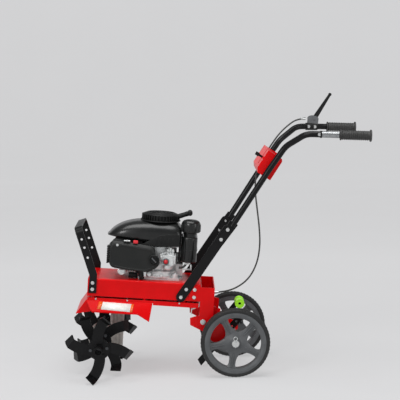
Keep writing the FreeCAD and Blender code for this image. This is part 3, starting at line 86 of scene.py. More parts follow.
def start_material(name, **shader_inputs):
    """A material with its shader, and object coordinates counted in millimetres."""
    made = bpy.data.materials.new(name)
    made.use_nodes = True
    tree = made.node_tree
    shader = tree.nodes["Principled BSDF"]
    for socket, value in shader_inputs.items():
        shader.inputs[socket.replace("_", " ")].default_value = value
    coords = add(tree, "TexCoord")
    scaled = add(tree, "Mapping", {"Vector": coords.outputs["Object"],
                                   "Scale": (1 / MM, 1 / MM, 1 / MM)})
    return made, tree, shader, scaled.outputs["Vector"]


def grain(tree, place, size_mm, detail=3.0, stretch=(1, 1, 1)):
    """Noise whose blotches are about size_mm across, drawn out by stretch."""
    shaped = add(tree, "Mapping", {"Vector": place, "Scale": stretch})
    noise = add(tree, "TexNoise", {"Vector": shaped.outputs["Vector"], "Scale": 1 / size_mm,
                                   "Detail": detail, "Roughness": 0.55})
    return noise.outputs["Fac"]


def blend_colours(tree, fac, low, high, start=0.35, end=0.65):
    ramp = add(tree, "ValToRGB", {"Fac": fac})
    ramp.color_ramp.elements[0].position = start
    ramp.color_ramp.elements[0].color = linear(low)
    ramp.color_ramp.elements[1].position = end
    ramp.color_ramp.elements[1].color = linear(high)
    return ramp.outputs["Color"]


def vary_roughness(tree, shader, fac, low, high):
    spread = add(tree, "MapRange", {"Value": fac, "To Min": low, "To Max": high})
    tree.links.new(spread.outputs["Result"], shader.inputs["Roughness"])


def emboss(tree, shader, height, depth_mm, strength=1.0):
    bump = add(tree, "Bump", {"Height": height, "Distance": depth_mm * MM, "Strength": strength})
    tree.links.new(bump.outputs["Normal"], shader.inputs["Normal"])


def colour_by(tree, shader, colour):
    tree.links.new(colour, shader.inputs["Base Color"])


def powder_coat(name, low, high, roughness, coat, shine=0.5):
    # Baked polyester powder: an orange peel of about 2 mm under a clear, soft gloss.
    made, tree, shader, place = start_material(name, Coat_Weight=coat, Coat_Roughness=0.16,
                                               Specular_IOR_Level=shine, IOR=1.5)
    colour_by(tree, shader, blend_colours(tree, grain(tree, place, 70.0), low, high))
    vary_roughness(tree, shader, grain(tree, place, 24.0, 4.0), roughness - 0.05, roughness + 0.08)
    emboss(tree, shader, grain(tree, place, 2.2, 1.0), 0.06, 0.35)
    return made


def worn_enamel():
    # Dipped black enamel on forged steel: wet gloss, with fine scuffs that let grey through.
    made, tree, shader, place = start_material("tine_enamel", Specular_IOR_Level=0.2, IOR=1.5)
    scuffs = grain(tree, place, 5.0, 6.0, (1, 0.25, 1))
    colour_by(tree, shader, blend_colours(tree, scuffs, "080809", "161718", 0.45, 0.85))
    vary_roughness(tree, shader, scuffs, 0.24, 0.5)
    emboss(tree, shader, grain(tree, place, 3.0, 3.0), 0.12, 0.4)
    return made


def plated(name, low, high, roughness, blotch_mm=9.0):
    # Zinc or bare steel: a metal whose fine draw marks spread the highlight a little.
    made, tree, shader, place = start_material(name, Metallic=1.0)
    colour_by(tree, shader, blend_colours(tree, grain(tree, place, blotch_mm), low, high))
    marks = grain(tree, place, 0.9, 2.0, (1, 0.12, 1))
    vary_roughness(tree, shader, marks, roughness - 0.08, roughness + 0.12)
    emboss(tree, shader, marks, 0.02, 0.3)
    return made


def cast_metal(name, low, high, roughness, grit_mm, depth_mm, metallic=0.9):
    # Die-cast or sand-cast alloy: the mould's skin leaves a matt, slightly pitted grey.
    made, tree, shader, place = start_material(name, Metallic=metallic)
    colour_by(tree, shader, blend_colours(tree, grain(tree, place, 14.0, 5.0), low, high))
    pits = grain(tree, place, grit_mm, 2.0)
    vary_roughness(tree, shader, pits, roughness - 0.06, roughness + 0.14)
    emboss(tree, shader, pits, depth_mm, 0.6)
    return made


def moulded(name, low, high, roughness, grain_mm, depth_mm, coat=0.0, shine=0.5):
    # Injection-moulded plastic: etched mould texture, and a faint flow pattern in its shade.
    made, tree, shader, place = start_material(name, IOR=1.49, Coat_Weight=coat,
                                               Specular_IOR_Level=shine, Coat_Roughness=0.1)
    colour_by(tree, shader, blend_colours(tree, grain(tree, place, 45.0, 2.0), low, high))
    vary_roughness(tree, shader, grain(tree, place, 12.0, 3.0), roughness - 0.04, roughness + 0.06)
    cells = add(tree, "TexVoronoi", {"Vector": place, "Scale": 1 / grain_mm})
    emboss(tree, shader, cells.outputs["Distance"], depth_mm, 0.35)
    return made


def rubber(name, low, high, roughness, grit_mm=1.6):
    # Vulcanised rubber: dull, with a dry bloom that lightens it in patches.
    made, tree, shader, place = start_material(name, IOR=1.52)
    colour_by(tree, shader, blend_colours(tree, grain(tree, place, 22.0, 6.0), low, high))
    grit = grain(tree, place, grit_mm, 3.0)
    vary_roughness(tree, shader, grit, roughness - 0.05, roughness + 0.1)
    emboss(tree, shader, grit, 0.08, 0.5)
    return made


def heat_stained_steel():
    # Pressed steel silencer: straw and brown temper colours drift over a dull metal.
    made, tree, shader, place = start_material("heat_stained_steel", Metallic=0.9)
    colour_by(tree, shader, blend_colours(tree, grain(tree, place, 30.0, 5.0), "5C554F", "8F897F"))
    vary_roughness(tree, shader, grain(tree, place, 6.0, 4.0), 0.38, 0.6)
    return made


def lime_nylon():
    # Glass-filled nylon dyed lime: a bright body colour that glows a little at its edges.
    made, tree, shader, place = start_material(
        "lime_nylon", IOR=1.53, Subsurface_Weight=0.15, Subsurface_Radius=(0.004, 0.004, 0.001))
    colour_by(tree, shader, blend_colours(tree, grain(tree, place, 20.0), "8FD81A", "A4EC2C"))
    vary_roughness(tree, shader, grain(tree, place, 8.0), 0.3, 0.42)
    emboss(tree, shader, grain(tree, place, 1.2, 2.0), 0.03, 0.3)
    return made


def printed_vinyl(name, low, high, bars):
    # Printed vinyl film under a clear laminate; grey bars stand in for any printed matter.
    made, tree, shader, place = start_material(name, Roughness=0.32, Coat_Weight=0.4,
                                               Coat_Roughness=0.12)
    paper = blend_colours(tree, grain(tree, place, 16.0), low, high)
    if bars:
        split = add(tree, "SeparateXYZ", {"Vector": place})
        wave = add(tree, "Math", {0: split.outputs["Z"], 1: 1.9}, operation="MULTIPLY")
        lines = add(tree, "Math", {0: wave.outputs["Value"]}, operation="SINE")
        words = grain(tree, place, 5.0, 1.0, (1, 1, 0.15))
        inked = add(tree, "Math", {0: lines.outputs["Value"], 1: words}, operation="MULTIPLY")
        faint = add(tree, "MapRange", {"Value": inked.outputs["Value"], "From Min": 0.3,
                                       "From Max": 0.5, "To Max": 0.35})
        mixed = add(tree, "Mix", {0: faint.outputs["Result"], 6: paper, 7: linear("8C8A86")},
                    data_type="RGBA")
        paper = mixed.outputs[2]
    colour_by(tree, shader, paper)
    return made


FINISHES = {
    "red_paint": powder_coat("red_powder_coat", "C60003", "D20005", 0.3, 0.0, 0.16),
    "black_paint": powder_coat("black_powder_coat", "09090A", "0E0E0F", 0.36, 0.0, 0.2),
    "tine_black": worn_enamel(),
    "zinc": plated("bright_zinc", "C4C7C8", "DDDEDC", 0.3),
    "steel": plated("machined_steel", "8C8E90", "A6A8A9", 0.34),
    "cast_aluminium": cast_metal("die_cast_aluminium", "C4C7C8", "DCDEDD", 0.4, 1.1, 0.1, 0.55),
    "case_aluminium": cast_metal("gearcase_aluminium", "A5A19C", "BDB9B3", 0.5, 1.6, 0.15, 0.45),
    "iron": cast_metal("cast_iron", "3F4042", "55575A", 0.6, 1.4, 0.25, 0.7),
    "bronze": plated("machined_bronze", "A8743A", "BD8848", 0.3),
    "gloss_black": moulded("gloss_black_abs", "0F1010", "141515", 0.33, 1.2, 0.004, 0.2, 0.34),
    "matte_black": moulded("textured_black_polypropylene", "0C0D0D", "121313", 0.5, 1.6, 0.06,
                           0.0, 0.26),
    "dark_grey": moulded("charcoal_abs", "141615", "1A1B1A", 0.46, 1.8, 0.05, 0.0, 0.3),
    "wheel_grey": moulded("grey_polypropylene", "484A4C", "545658", 0.44, 2.0, 0.05),
    "lime": lime_nylon(),
    "red_rubber": rubber("red_rubber", "B3101C", "CC1826", 0.42),
    "rubber": rubber("black_rubber", "262625", "333332", 0.5),
    "tyre_rubber": rubber("tyre_rubber", "131313", "1C1C1C", 0.7, 2.4),
    "grey_metal": powder_coat("grey_enamel", "505254", "5E6062", 0.34, 0.1),
    "muffler_steel": heat_stained_steel(),
}
LABEL_WHITE = printed_vinyl("white_vinyl", "E9E6E0", "F4F2EE", True)
LABEL_ORANGE = printed_vinyl("orange_vinyl", "DE5A1C", "EA6A28", False)


# ---- bmesh helpers, in millimetres -----------------------------------------------------
def square_box(node):
    """Lowest and highest corners of a CAD node in the chassis's own square frame."""
    back = CHASSIS.inverted()
    points = [back @ vertex.co for vertex in NODES[node].data.vertices]
    low = Vector([min(p[i] for p in points) for i in range(3)])
    high = Vector([max(p[i] for p in points) for i in range(3)])
    return low, high


def round_edges(bm, edges, offset, segments, clamp=True):
    bmesh.ops.bevel(bm, geom=edges, offset=offset, segments=segments, profile=0.5, affect="EDGES",
                    clamp_overlap=clamp, material=-1)


def block(bm, low, high, rounding=0.0, segments=3):
    """A block between two corners, with all its edges rounded."""
    low, high = Vector(low), Vector(high)
    others = set(bm.verts)
    verts = bmesh.ops.create_cube(bm, size=1.0)["verts"]
    bmesh.ops.scale(bm, vec=high - low, verts=verts)
    bmesh.ops.translate(bm, vec=(low + high) / 2, verts=verts)
    if rounding:
        round_edges(bm, edges_of(verts), rounding, segments)
    return [vert for vert in bm.verts if vert not in others]


def edges_of(verts):
    return list({edge for vert in verts for edge in vert.link_edges})


def faces_of(verts):
    return list({face for vert in verts for face in vert.link_faces})


def disc(bm, start, end, radius, end_radius=None, segments=40):
    """A round bar or cone from start to end."""
    start, end = Vector(start), Vector(end)
    run = end - start
    made = bmesh.ops.create_cone(bm, cap_ends=True, segments=segments, radius1=radius,
                                 radius2=radius if end_radius is None else end_radius,
                                 depth=run.length)
    turn = run.to_track_quat("Z", "Y").to_matrix().to_4x4()
    bmesh.ops.transform(bm, verts=made["verts"],
                        matrix=Matrix.Translation((start + end) / 2) @ turn)
    return made["verts"]


def soft_corners(outline, radius, steps=6):
    """An outline of (x, z) points with each corner turned into a short curve."""
    points = [Vector(point) for point in outline]
    curved = []
    for before, corner, after in zip(points[-1:] + points, points, points[1:] + points[:1]):
        reach = min(radius, (before - corner).length * 0.48, (after - corner).length * 0.48)
        first = corner + (before - corner).normalized() * reach
        last = corner + (after - corner).normalized() * reach
        for step in range(steps + 1):
            share = step / steps
            curved.append(first.lerp(corner, share).lerp(corner.lerp(last, share), share))
    return curved


def column(bm, low, high, corner):
    """A block in an empty bmesh, with its four upright edges rounded."""
    block(bm, low, high)
    upright = [edge for edge in bm.edges if abs(edge.verts[0].co.z - edge.verts[1].co.z) > 1]
    round_edges(bm, upright, corner, 10, clamp=False)


def slab(bm, points, reach):
    """A flat face through these points, thickened by the vector reach."""
    face = bm.faces.new([bm.verts.new(point) for point in points])
    grown = bmesh.ops.extrude_face_region(bm, geom=[face])["geom"]
    far = [item for item in grown if isinstance(item, bmesh.types.BMVert)]
    bmesh.ops.translate(bm, verts=far, vec=reach)
    return far + list(face.verts)


def prism(bm, outline, y0, y1, rounding=0.0, segments=3):
    """A slab cut to an outline of (x, z) points, with its rims rounded."""
    verts = slab(bm, [(x, y0, z) for x, z in outline], (0, y1 - y0, 0))
    if rounding:
        rims = [edge for edge in edges_of(verts)
                if abs(edge.verts[0].co.y - edge.verts[1].co.y) < 1e-4]
        round_edges(bm, rims, rounding, segments)
    return verts


def lathe(bm, profile, centre, axis, steps=72, closed=False):
    """Spins an outline of (radius, height) points about an axis through centre."""
    centre, axis = Vector(centre), Vector(axis).normalized()
    side = axis.orthogonal().normalized()
    verts = [bm.verts.new(centre + side * radius + axis * height) for radius, height in profile]
    pairs = list(zip(verts, verts[1:]))
    if closed:
        pairs.append((verts[-1], verts[0]))
    edges = [bm.edges.new(pair) for pair in pairs]
    bmesh.ops.spin(bm, geom=verts + edges, cent=centre, axis=axis, angle=math.tau, steps=steps,
                   use_merge=True)


def loft(bm, rings, cap=True):
    """A skin through closed rings of points, with its two ends filled."""
    loops = []
    for ring in rings:
        verts = [bm.verts.new(point) for point in ring]
        edges = [bm.edges.new((a, b)) for a, b in zip(verts, verts[1:] + verts[:1])]
        loops.append((verts, edges))
    for (_, near), (_, far) in zip(loops, loops[1:]):
        bmesh.ops.bridge_loops(bm, edges=near + far)
    if cap:
        bm.faces.new(loops[0][0])
        bm.faces.new(loops[-1][0])


def around(bm, verts, centre, axis, count):
    """Repeats a piece count times about an axis."""
    geom = verts + edges_of(verts) + faces_of(verts)
    bmesh.ops.spin(bm, geom=geom, cent=centre, axis=axis, angle=math.tau * (count - 1) / count,
                   steps=count - 1, use_duplicate=True)


def hex_head(bm, at, outwards, across, height):
    """A bolt head with a flat washer under it."""
    at, outwards = Vector(at), Vector(outwards).normalized()
    disc(bm, at, at + outwards * 1.2, across * 0.72, segments=32)
    disc(bm, at + outwards * 1.2, at + outwards * (1.2 + height), across / 2,
         end_radius=across * 0.46, segments=6)


SHARP_FROM = math.radians(32.0)


def show(name, data):
    """Puts an object with this data into the scene."""
    shown = bpy.data.objects.new(name, data)
    bpy.context.scene.collection.objects.link(shown)
    return shown


def mesh_object(bm, name, finish):
    """Empties a bmesh into a smooth-shaded object."""
    mesh = bpy.data.meshes.new(name)
    bm.to_mesh(mesh)
    bm.free()
    mesh.materials.append(finish)
    mesh.shade_smooth()
    mesh.set_sharp_from_angle(angle=SHARP_FROM)
    return show(name, mesh)


def soften(piece, width_mm, angle_deg=35.0):
    """Rounds a piece's sharp edges so that they catch the light."""
    rounding = piece.modifiers.new("edge_rounding", "BEVEL")
    rounding.width = width_mm * MM
    rounding.segments = 2
    rounding.limit_method = "ANGLE"
    rounding.angle_limit = math.radians(angle_deg)
    rounding.harden_normals = True


def fit(piece, body, slot, *nodes):
    """Lets a piece ride on its body and stand for CAD nodes."""
    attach(piece, body)
    if nodes:
        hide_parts(*nodes)


def make(bm, name, slot, body="chassis", nodes=(), place=CHASSIS, finish=None, bevel_mm=0.0):
    """Cleans a bmesh, sets it in its place and makes it a finished piece of its body."""
    bmesh.ops.remove_doubles(bm, verts=bm.verts, dist=0.002)
    loose = [vert for vert in bm.verts if not vert.link_faces]
    bmesh.ops.delete(bm, geom=loose, context="VERTS")
    bmesh.ops.recalc_face_normals(bm, faces=bm.faces)
    bmesh.ops.transform(bm, verts=bm.verts, matrix=place)
    piece = mesh_object(bm, name, finish or FINISHES[slot])
    if bevel_mm:
        soften(piece, bevel_mm)
    fit(piece, body, slot, *nodes)
    return piece


# ---- CAD pieces whose shape is right ---------------------------------------------------
SHEET_METAL = ("engine_deck", "belt_cover", "rear_box", "tine_shield", "console_panel",
               "carriage_frame")
EDGED = {"front_bail": 0.9, "handle_bar_left": 1.0, "handle_bar_right": 1.0, "drag_stake": 0.8,
         "latch_lever": 0.8, "stake_bracket": 0.8, "clutch_lever": 1.6,
         "throttle_lever": 1.2, "tines_left": 1.0, "tines_right": 1.0, "gearcase": 1.0,
         "stop_bracket": 0.4, "frame_bolts": 0.5, "pivot_rod": 0.8, "latch_grip": 1.4,
         "cylinder_block": 0.5, "muffler": 0.6, "stake_clamp": 1.4}


def dress(node, rounding_mm):
    """A merged copy of a CAD node with its edges rounded, which stands for the node."""
    bm = bmesh.new()
    bm.from_mesh(NODES[node].data)
    bmesh.ops.remove_doubles(bm, verts=bm.verts, dist=0.005 * MM)
    bmesh.ops.dissolve_limit(bm, angle_limit=math.radians(0.6), verts=bm.verts, edges=bm.edges)
    piece = mesh_object(bm, node + "_finished", FINISHES[SLOT_OF[node]])
    soften(piece, rounding_mm)
    fit(piece, BODY_OF[node], SLOT_OF[node], node)


def paint_nodes():
    """Gives every CAD node the finish of its slot."""
    for name, node in NODES.items():
        node.data.materials.clear()
        node.data.materials.append(FINISHES[SLOT_OF[name]])


def dress_frame():
    for node in SHEET_METAL:
        dress(node, 0.9)
    for node, rounding_mm in EDGED.items():
        dress(node, rounding_mm)


# ---- engine covers ---------------------------------------------------------------------
def arch_ring(x, half, low, high, squareness=3.6, count=28):
    """One rib of the blower cover: a squared arch over a flat sill."""
    ring = []
    for step in range(count + 1):
        turn = math.pi * step / count
        across = math.copysign(abs(math.cos(turn)) ** (2 / squareness), math.cos(turn))
        rise = math.sin(turn) ** (2 / squareness)
        ring.append((x, -half * across, low + (high - low) * rise))
    return ring


def blower_cover():
    """Glossy dome over flywheel and cylinder: a blunt nose that swells into a flat crown."""
    low, high = square_box("blower_shroud")
    length = high.x - low.x
    half = high.y
    sill_rise = 22.0
    bm = bmesh.new()
    rings = []
    stations = ((0.0, 0.34, 0.26), (0.012, 0.48, 0.34), (0.045, 0.66, 0.48), (0.11, 0.83, 0.65),
                (0.21, 0.94, 0.81), (0.33, 0.98, 0.92), (0.48, 1.0, 0.985), (0.66, 1.0, 1.0),
                (0.86, 0.99, 0.99), (0.955, 0.95, 0.92), (0.99, 0.90, 0.82), (1.0, 0.86, 0.74))
    for along, width, rise in stations:
        sill = low.z + 5 + sill_rise * (1 - along) ** 2.6
        top = low.z + rise * (high.z - low.z)
        rings.append(arch_ring(low.x + along * length, half * width, sill, max(top, sill + 4)))
    loft(bm, rings)
    cover = make(bm, "blower_cover", "gloss_black", nodes=("blower_shroud",))
    cover.data.set_sharp_from_angle(angle=math.radians(55))
    smooth = cover.modifiers.new("smooth_skin", "SUBSURF")
    smooth.levels = 2
    smooth.render_levels = 2


def blower_side_panels():
    """Matt scoop let into each flank of the blower cover, below a rising edge."""
    flank = square_box("blower_shroud")[1].y
    bm = bmesh.new()
    outline = [(-262, 266), (-232, 271), (-206, 287), (-176, 303), (-146, 309), (-104, 309),
               (-101, 266), (-150, 262)]
    for side in (-1, 1):
        prism(bm, outline, side * (flank - 5), side * (flank + 0.8), rounding=1.6)
        for step in range(5):
            x = -188 + step * 15
            block(bm, (x, side * flank - 1.5, 272), (x + 7, side * flank + 1.9, 297), 0.8, 2)
    make(bm, "blower_side_panels", "matte_black")


def cylinder_baffle():
    """Black sheet cowl that leads the cooling air down over the cylinder's fins."""
    bm = bmesh.new()
    outline = [(-345, 236), (-338, 284), (-235, 284), (-235, 225), (-262, 222), (-330, 226)]
    prism(bm, soft_corners(outline, 8.0), -58, 58, rounding=2.0)
    make(bm, "cylinder_baffle", "matte_black")


def crank_centre():
    """The crankshaft's place under the recoil cover, at height 0."""
    low, high = square_box("flywheel")
    return Vector(((low.x + high.x) / 2, 0, 0))


ROPE_EXIT = Vector((-112, -17, 368))
ROPE_AIM = Vector((53, 0, 20)).normalized()


def recoil_cover():
    """Round starter cover: a ring of cooling fins below a shallow domed cap."""
    low, high = square_box("recoil_housing")
    centre = crank_centre()
    outer = 74.0
    base, crown = low.z + 0.4, high.z
    bm = bmesh.new()
    lathe(bm, [(0, crown - 2.5), (14, crown - 2.5), (17, crown - 0.4), (40, crown), (50, crown),
               (58, crown - 1.0), (64, crown - 3.4), (66, crown - 5.4), (63, crown - 6.4),
               (63, base + 3.4), (outer - 1, base + 2.6), (outer, base + 1.2), (outer, base),
               (0, base)], centre, (0, 0, 1), 96)
    fin = block(bm, (centre.x + 60, -1.3, base + 1.6), (centre.x + outer - 4, 1.3, crown - 5.2),
                0.5, 2)
    around(bm, fin, centre, (0, 0, 1), 40)
    slat = block(bm, (centre.x + 22, -1.1, crown - 0.6), (centre.x + 50, 1.1, crown + 0.9), 0.4, 2)
    around(bm, slat, centre, (0, 0, 1), 30)
    lathe(bm, [(46, crown - 0.5), (47, crown + 1.3), (53, crown + 1.1), (55, crown - 1.5)],
          centre, (0, 0, 1), 96, closed=True)
    disc(bm, centre + Vector((0, 0, crown - 3)), centre + Vector((0, 0, crown + 0.6)), 9.0)
    make(bm, "recoil_cover", "matte_black", nodes=("recoil_housing",))
    bm = bmesh.new()
    lathe(bm, [(4.6, -24), (9.6, -24), (10.4, -6), (11.4, -3), (11.4, -0.4), (4.6, -0.4)],
          ROPE_EXIT, ROPE_AIM, 40, closed=True)
    block(bm, (-134, -29, 353), (-113, -6, 372), 4.0)
    make(bm, "rope_outlet", "matte_black")


def starter_grip():
    """T-shaped pull handle with finger grooves, and the rope that it is tied to."""
    bm = bmesh.new()
    lathe(bm, [(0, 0.6), (8.0, 0.6), (9.4, 2), (9.2, 13), (8.8, 26), (9.4, 38), (0, 42)],
          ROPE_EXIT, ROPE_AIM, 36)
    centre = ROPE_EXIT + ROPE_AIM * 46
    profile = [(0, -22), (5.5, -21.7), (8.8, -18.4)]
    for step in range(7):
        y = -17 + step * 5.0
        profile += [(9.5, y), (9.5, y + 2.6), (8.7, y + 3.2), (8.7, y + 4.2)]
    profile += [(8.8, 18.6), (5.5, 21.7), (0, 22)]
    lathe(bm, profile, centre, (0, 1, 0), 36)
    make(bm, "starter_grip", "matte_black", "starter_handle", ("starter_handle",))
    bm = bmesh.new()
    disc(bm, ROPE_EXIT - ROPE_AIM * 39, ROPE_EXIT + ROPE_AIM * 2, 2.0, segments=16)
    make(bm, "starter_rope", "matte_black", "starter_handle")


def fuel_tank():
    """Blow-moulded tank: rounded column with a weld seam and a filler neck."""
    low, high = square_box("fuel_tank")
    body_top = 300.0
    x0, x1 = low.x + 1, high.x
    y0, y1 = low.y, high.y
    bm = bmesh.new()
    column(bm, (x0, y0, 206), (x1, y1, body_top), 26.0)
    rims = [edge for edge in bm.edges if abs(edge.verts[0].co.z - edge.verts[1].co.z) < 1e-3]
    round_edges(bm, rims, 5.5, 4, clamp=False)
    neck = Vector(((x0 + x1) / 2, -48.0, 0))
    lathe(bm, [(22.5, 297), (22.5, 309), (24.5, 310), (24.5, 313), (22.5, 314), (21.8, 318),
               (19.2, 318), (19.2, 297)], neck, (0, 0, 1), 48, closed=True)
    for y in (-30, 10):
        block(bm, (-95, y, 195), (-86, y + 18, 212), 1.5, 2)
    for x in (x0 + 12, x0 + 29, x0 + 46):
        block(bm, (x - 1.4, y0 - 0.9, 218), (x + 1.4, y0 + 8, 288), 1.0, 2)
    make(bm, "fuel_tank_body", "gloss_black", nodes=("fuel_tank",))
    bm = bmesh.new()
    lip = 1.8
    column(bm, (x0 - lip, y0 - lip, 250.8), (x1 + lip, y1 + lip, 253.2), 27.0)
    make(bm, "tank_weld_seam", "gloss_black", bevel_mm=0.6)
    bm = bmesh.new()
    prism(bm, soft_corners([(-103, 204), (-95, 204), (-95, 330), (-103, 326)], 3.0), -58, 52,
          rounding=1.0)
    make(bm, "tank_mounting_plate", "matte_black")


def filler_cap():
    """Wide filler cap: a domed top over a skirt with broad finger ribs."""
    low, high = square_box("fuel_cap")
    centre = Vector(((low.x + high.x) / 2, (low.y + high.y) / 2, 0))
    top = high.z
    bm = bmesh.new()
    lathe(bm, [(0, top), (12, top - 0.3), (20, top - 1.4), (27, top - 4.0), (31.5, top - 8),
               (34.4, top - 14), (34.8, top - 26), (34.6, top - 44), (33, top - 46.5),
               (30, top - 47.6), (23, top - 47.6), (23, top - 26), (0, top - 26)],
          centre, (0, 0, 1), 96)
    rib = block(bm, (centre.x + 33.2, centre.y - 3.4, top - 44),
                (centre.x + 36.4, centre.y + 3.4, top - 17), 1.5, 3)
    around(bm, rib, centre, (0, 0, 1), 14)
    make(bm, "filler_cap", "gloss_black", "fuel_cap", ("fuel_cap",))


def air_cleaner():
    """Air cleaner: deep base, a cover with a raised rim, and a louvred front end."""
    low, high = square_box("air_cleaner_box")
    front, rear = low.x, high.x
    base = [(front + 12, 266), (-340, 284), (-300, 280), (-240, 262), (-200, 256), (-192, 250),
            (-189, 228), (-177, 220), (rear, 206), (-182, 188), (-214, 171), (-300, 177),
            (-346, 186), (front + 12, 200)]
    bm = bmesh.new()
    prism(bm, soft_corners(base, 10.0), high.y, low.y + 11, rounding=1.6)
    make(bm, "air_cleaner_base", "dark_grey", nodes=("air_cleaner_box",))
    cleaner_cover(low, front, rear)
    bm = bmesh.new()
    teeth = 8
    pitch = (260 - 194) / teeth
    for step in range(teeth):
        z = 196 + step * pitch
        slat = block(bm, (front + 0.2, low.y + 3.0, z), (front + 17, high.y - 1, z + pitch * 0.52),
                     1.3, 2)
        bmesh.ops.rotate(bm, verts=slat, cent=(front + 8, 0, z),
                         matrix=Matrix.Rotation(math.radians(-14), 3, "Y"))
    make(bm, "intake_louvres", "matte_black")
    bm = bmesh.new()
    disc(bm, (-327, low.y - 1.6, 264), (-327, low.y + 4, 264), 4.8, segments=24)
    disc(bm, (-327, low.y - 3.0, 264), (-327, low.y - 1.2, 264), 3.2, segments=6)
    block(bm, (-305, low.y + 2, 278), (-281, low.y + 12, 283), 1.6)
    make(bm, "cleaner_screw_and_bracket", "zinc")
    bm = bmesh.new()
    block(bm, (-270, low.y + 3, 272), (-253, low.y + 14, 283), 2.0)
    make(bm, "cleaner_latch", "red_rubber")


def cleaner_cover(low, front, rear):
    """Moulded cover whose face is flat below and slopes back along its top edge."""
    outline = soft_corners([(front + 10, 268), (-346, 279), (-300, 275), (-240, 269), (-200, 264),
                            (-189, 254), (-187, 230), (-174, 221), (rear + 2, 206), (-180, 186),
                            (-214, 169), (-300, 174), (-345, 181), (front + 10, 194)], 12.0)
    middle = Vector(((front + rear) / 2, 222))
    bm = bmesh.new()
    rings = []
    for depth, inset, top_drop, top_depth in ((14, 0, 0, 14), (7, 0, 0, 11), (2.2, 0.2, 0, 9.6),
                                              (0.6, 1.4, 9.0, 2.2), (0, 3.6, 12.0, 0.4),
                                              (0, 7.0, 16.0, 0), (0.9, 8.0, 17.0, 0.9)):
        ring = []
        for point in outline:
            share = min(max((point.y - 232) / 14, 0.0), 1.0)
            aim = middle - point
            moved = point + Vector((aim.x / abs(aim.x) * inset, -top_drop * share))
            if share < 1:
                moved.y += inset * (1 if aim.y > 0 else 0)
            ring.append((moved.x, low.y + depth + (top_depth - depth) * share, moved.y))
        rings.append(ring)
    loft(bm, rings)
    make(bm, "air_cleaner_cover", "dark_grey")


def cleaner_knob():
    """Round knob with a raised slot bar across it, in its ringed seat."""
    low, high = square_box("air_cleaner_knob")
    centre = Vector(((low.x + high.x) / 2, 0, (low.z + high.z) / 2))
    y = low.y + 5
    bm = bmesh.new()
    lathe(bm, [(0, 0), (9.5, 0), (11.5, -1.6), (13.4, -1.6), (14.8, 0.4), (14.8, 13), (3.8, 14),
               (3.8, 28), (0, 28)], centre + Vector((0, y, 0)), (0, 1, 0), 64)
    tooth = block(bm, (centre.x + 14.0, y + 2, centre.z - 1.0),
                  (centre.x + 15.4, y + 11, centre.z + 1.0), 0.5, 2)
    around(bm, tooth, centre, (0, 1, 0), 24)
    make(bm, "cleaner_knob", "matte_black", "air_cleaner_knob", ("air_cleaner_knob",))
    bm = bmesh.new()
    # The raised slot bar is drawn light grey as a painted highlight where light catches it; the knob's plastic is
    # black.
    bar = block(bm, (-11.5, y - 4.6, -2.4), (11.5, y + 0.6, 2.4), 1.4)
    bmesh.ops.rotate(bm, verts=bar, cent=(0, y, 0),
                     matrix=Matrix.Rotation(math.radians(45), 3, "Y"))
    bmesh.ops.translate(bm, verts=bar, vec=centre)
    make(bm, "knob_bar_painted_highlight", "wheel_grey", "air_cleaner_knob")
    bm = bmesh.new()
    lathe(bm, [(16.2, -6.8), (18.6, -6.8), (19.4, -5.8), (19.4, 1), (16.2, 1)],
          centre + Vector((0, low.y + 11.5, 0)), (0, 1, 0), 64, closed=True)
    make(bm, "knob_seat_ring", "dark_grey")


def carburettor():
    """Die-cast carburettor: flanged body, float bowl, studs, linkage plate and primer seat."""
    bm = bmesh.new()
    block(bm, (-164, -86, 193), (-119, -67, 234), 3.2)
    block(bm, (-158, -67, 200), (-132, -52, 226), 2.5)
    lathe(bm, [(0, 176), (4, 176), (5, 178.5), (14.5, 179.5), (16, 182), (16, 191), (18, 192),
               (18, 195), (0, 195)], (-140, -76, 0), (0, 0, 1), 48)
    block(bm, (-147, -83, 232), (-119, -63, 240), 1.6)
    for x in (-142, -124):
        disc(bm, (x, -79, 238), (x, -79, 255), 3.4, segments=24)
        disc(bm, (x, -79, 246), (x, -79, 251), 5.4, segments=6)
    disc(bm, (-133, -72, 238), (-133, -72, 258), 7.0, end_radius=6.0)
    lathe(bm, [(9, 0), (13.5, 0), (14, 1), (14, 5), (9, 5)], (-168, -77, 224), (1, 0, 0), 40, True)
    for x, z in ((-159, 228), (-124, 228), (-124, 199), (-159, 199)):
        hex_head(bm, (x, -86, z), (0, -1, 0), 6.5, 2.6)
    for step in range(4):
        block(bm, (-118.5, -84 + step * 5, 200), (-113, -82 + step * 5, 232), 0.6, 2)
    make(bm, "carburettor_casting", "cast_aluminium", nodes=("carburettor",))
    bm = bmesh.new()
    prism(bm, [(-171, 236), (-150, 244), (-140, 244), (-140, 240), (-150, 239), (-168, 231)],
          -90, -88.4, rounding=0.4)
    disc(bm, (-168, -92, 233.5), (-168, -87, 233.5), 2.4, segments=16)
    disc(bm, (-145, -92, 242), (-145, -87, 242), 2.4, segments=16)
    make(bm, "throttle_linkage", "zinc")
    bm = bmesh.new()
    low, high = square_box("primer_bulb")
    seat = Vector(((low.x + high.x) / 2, 0, (low.z + high.z) / 2))
    lathe(bm, [(8.5, -95.5), (11.0, -95.5), (12.2, -94), (12.2, -86), (8.5, -86)], seat, (0, 1, 0),
          48, closed=True)
    make(bm, "primer_collar", "grey_metal")
    bm = bmesh.new()
    lathe(bm, [(0, low.y), (3, low.y + 0.5), (5.6, low.y + 2.0), (7.3, low.y + 4.4),
               (8.1, low.y + 7.4), (8.1, low.y + 11.4), (0, low.y + 11.4)], seat, (0, 1, 0), 48)
    make(bm, "primer_dome", "red_rubber", "primer_bulb", ("primer_bulb",))


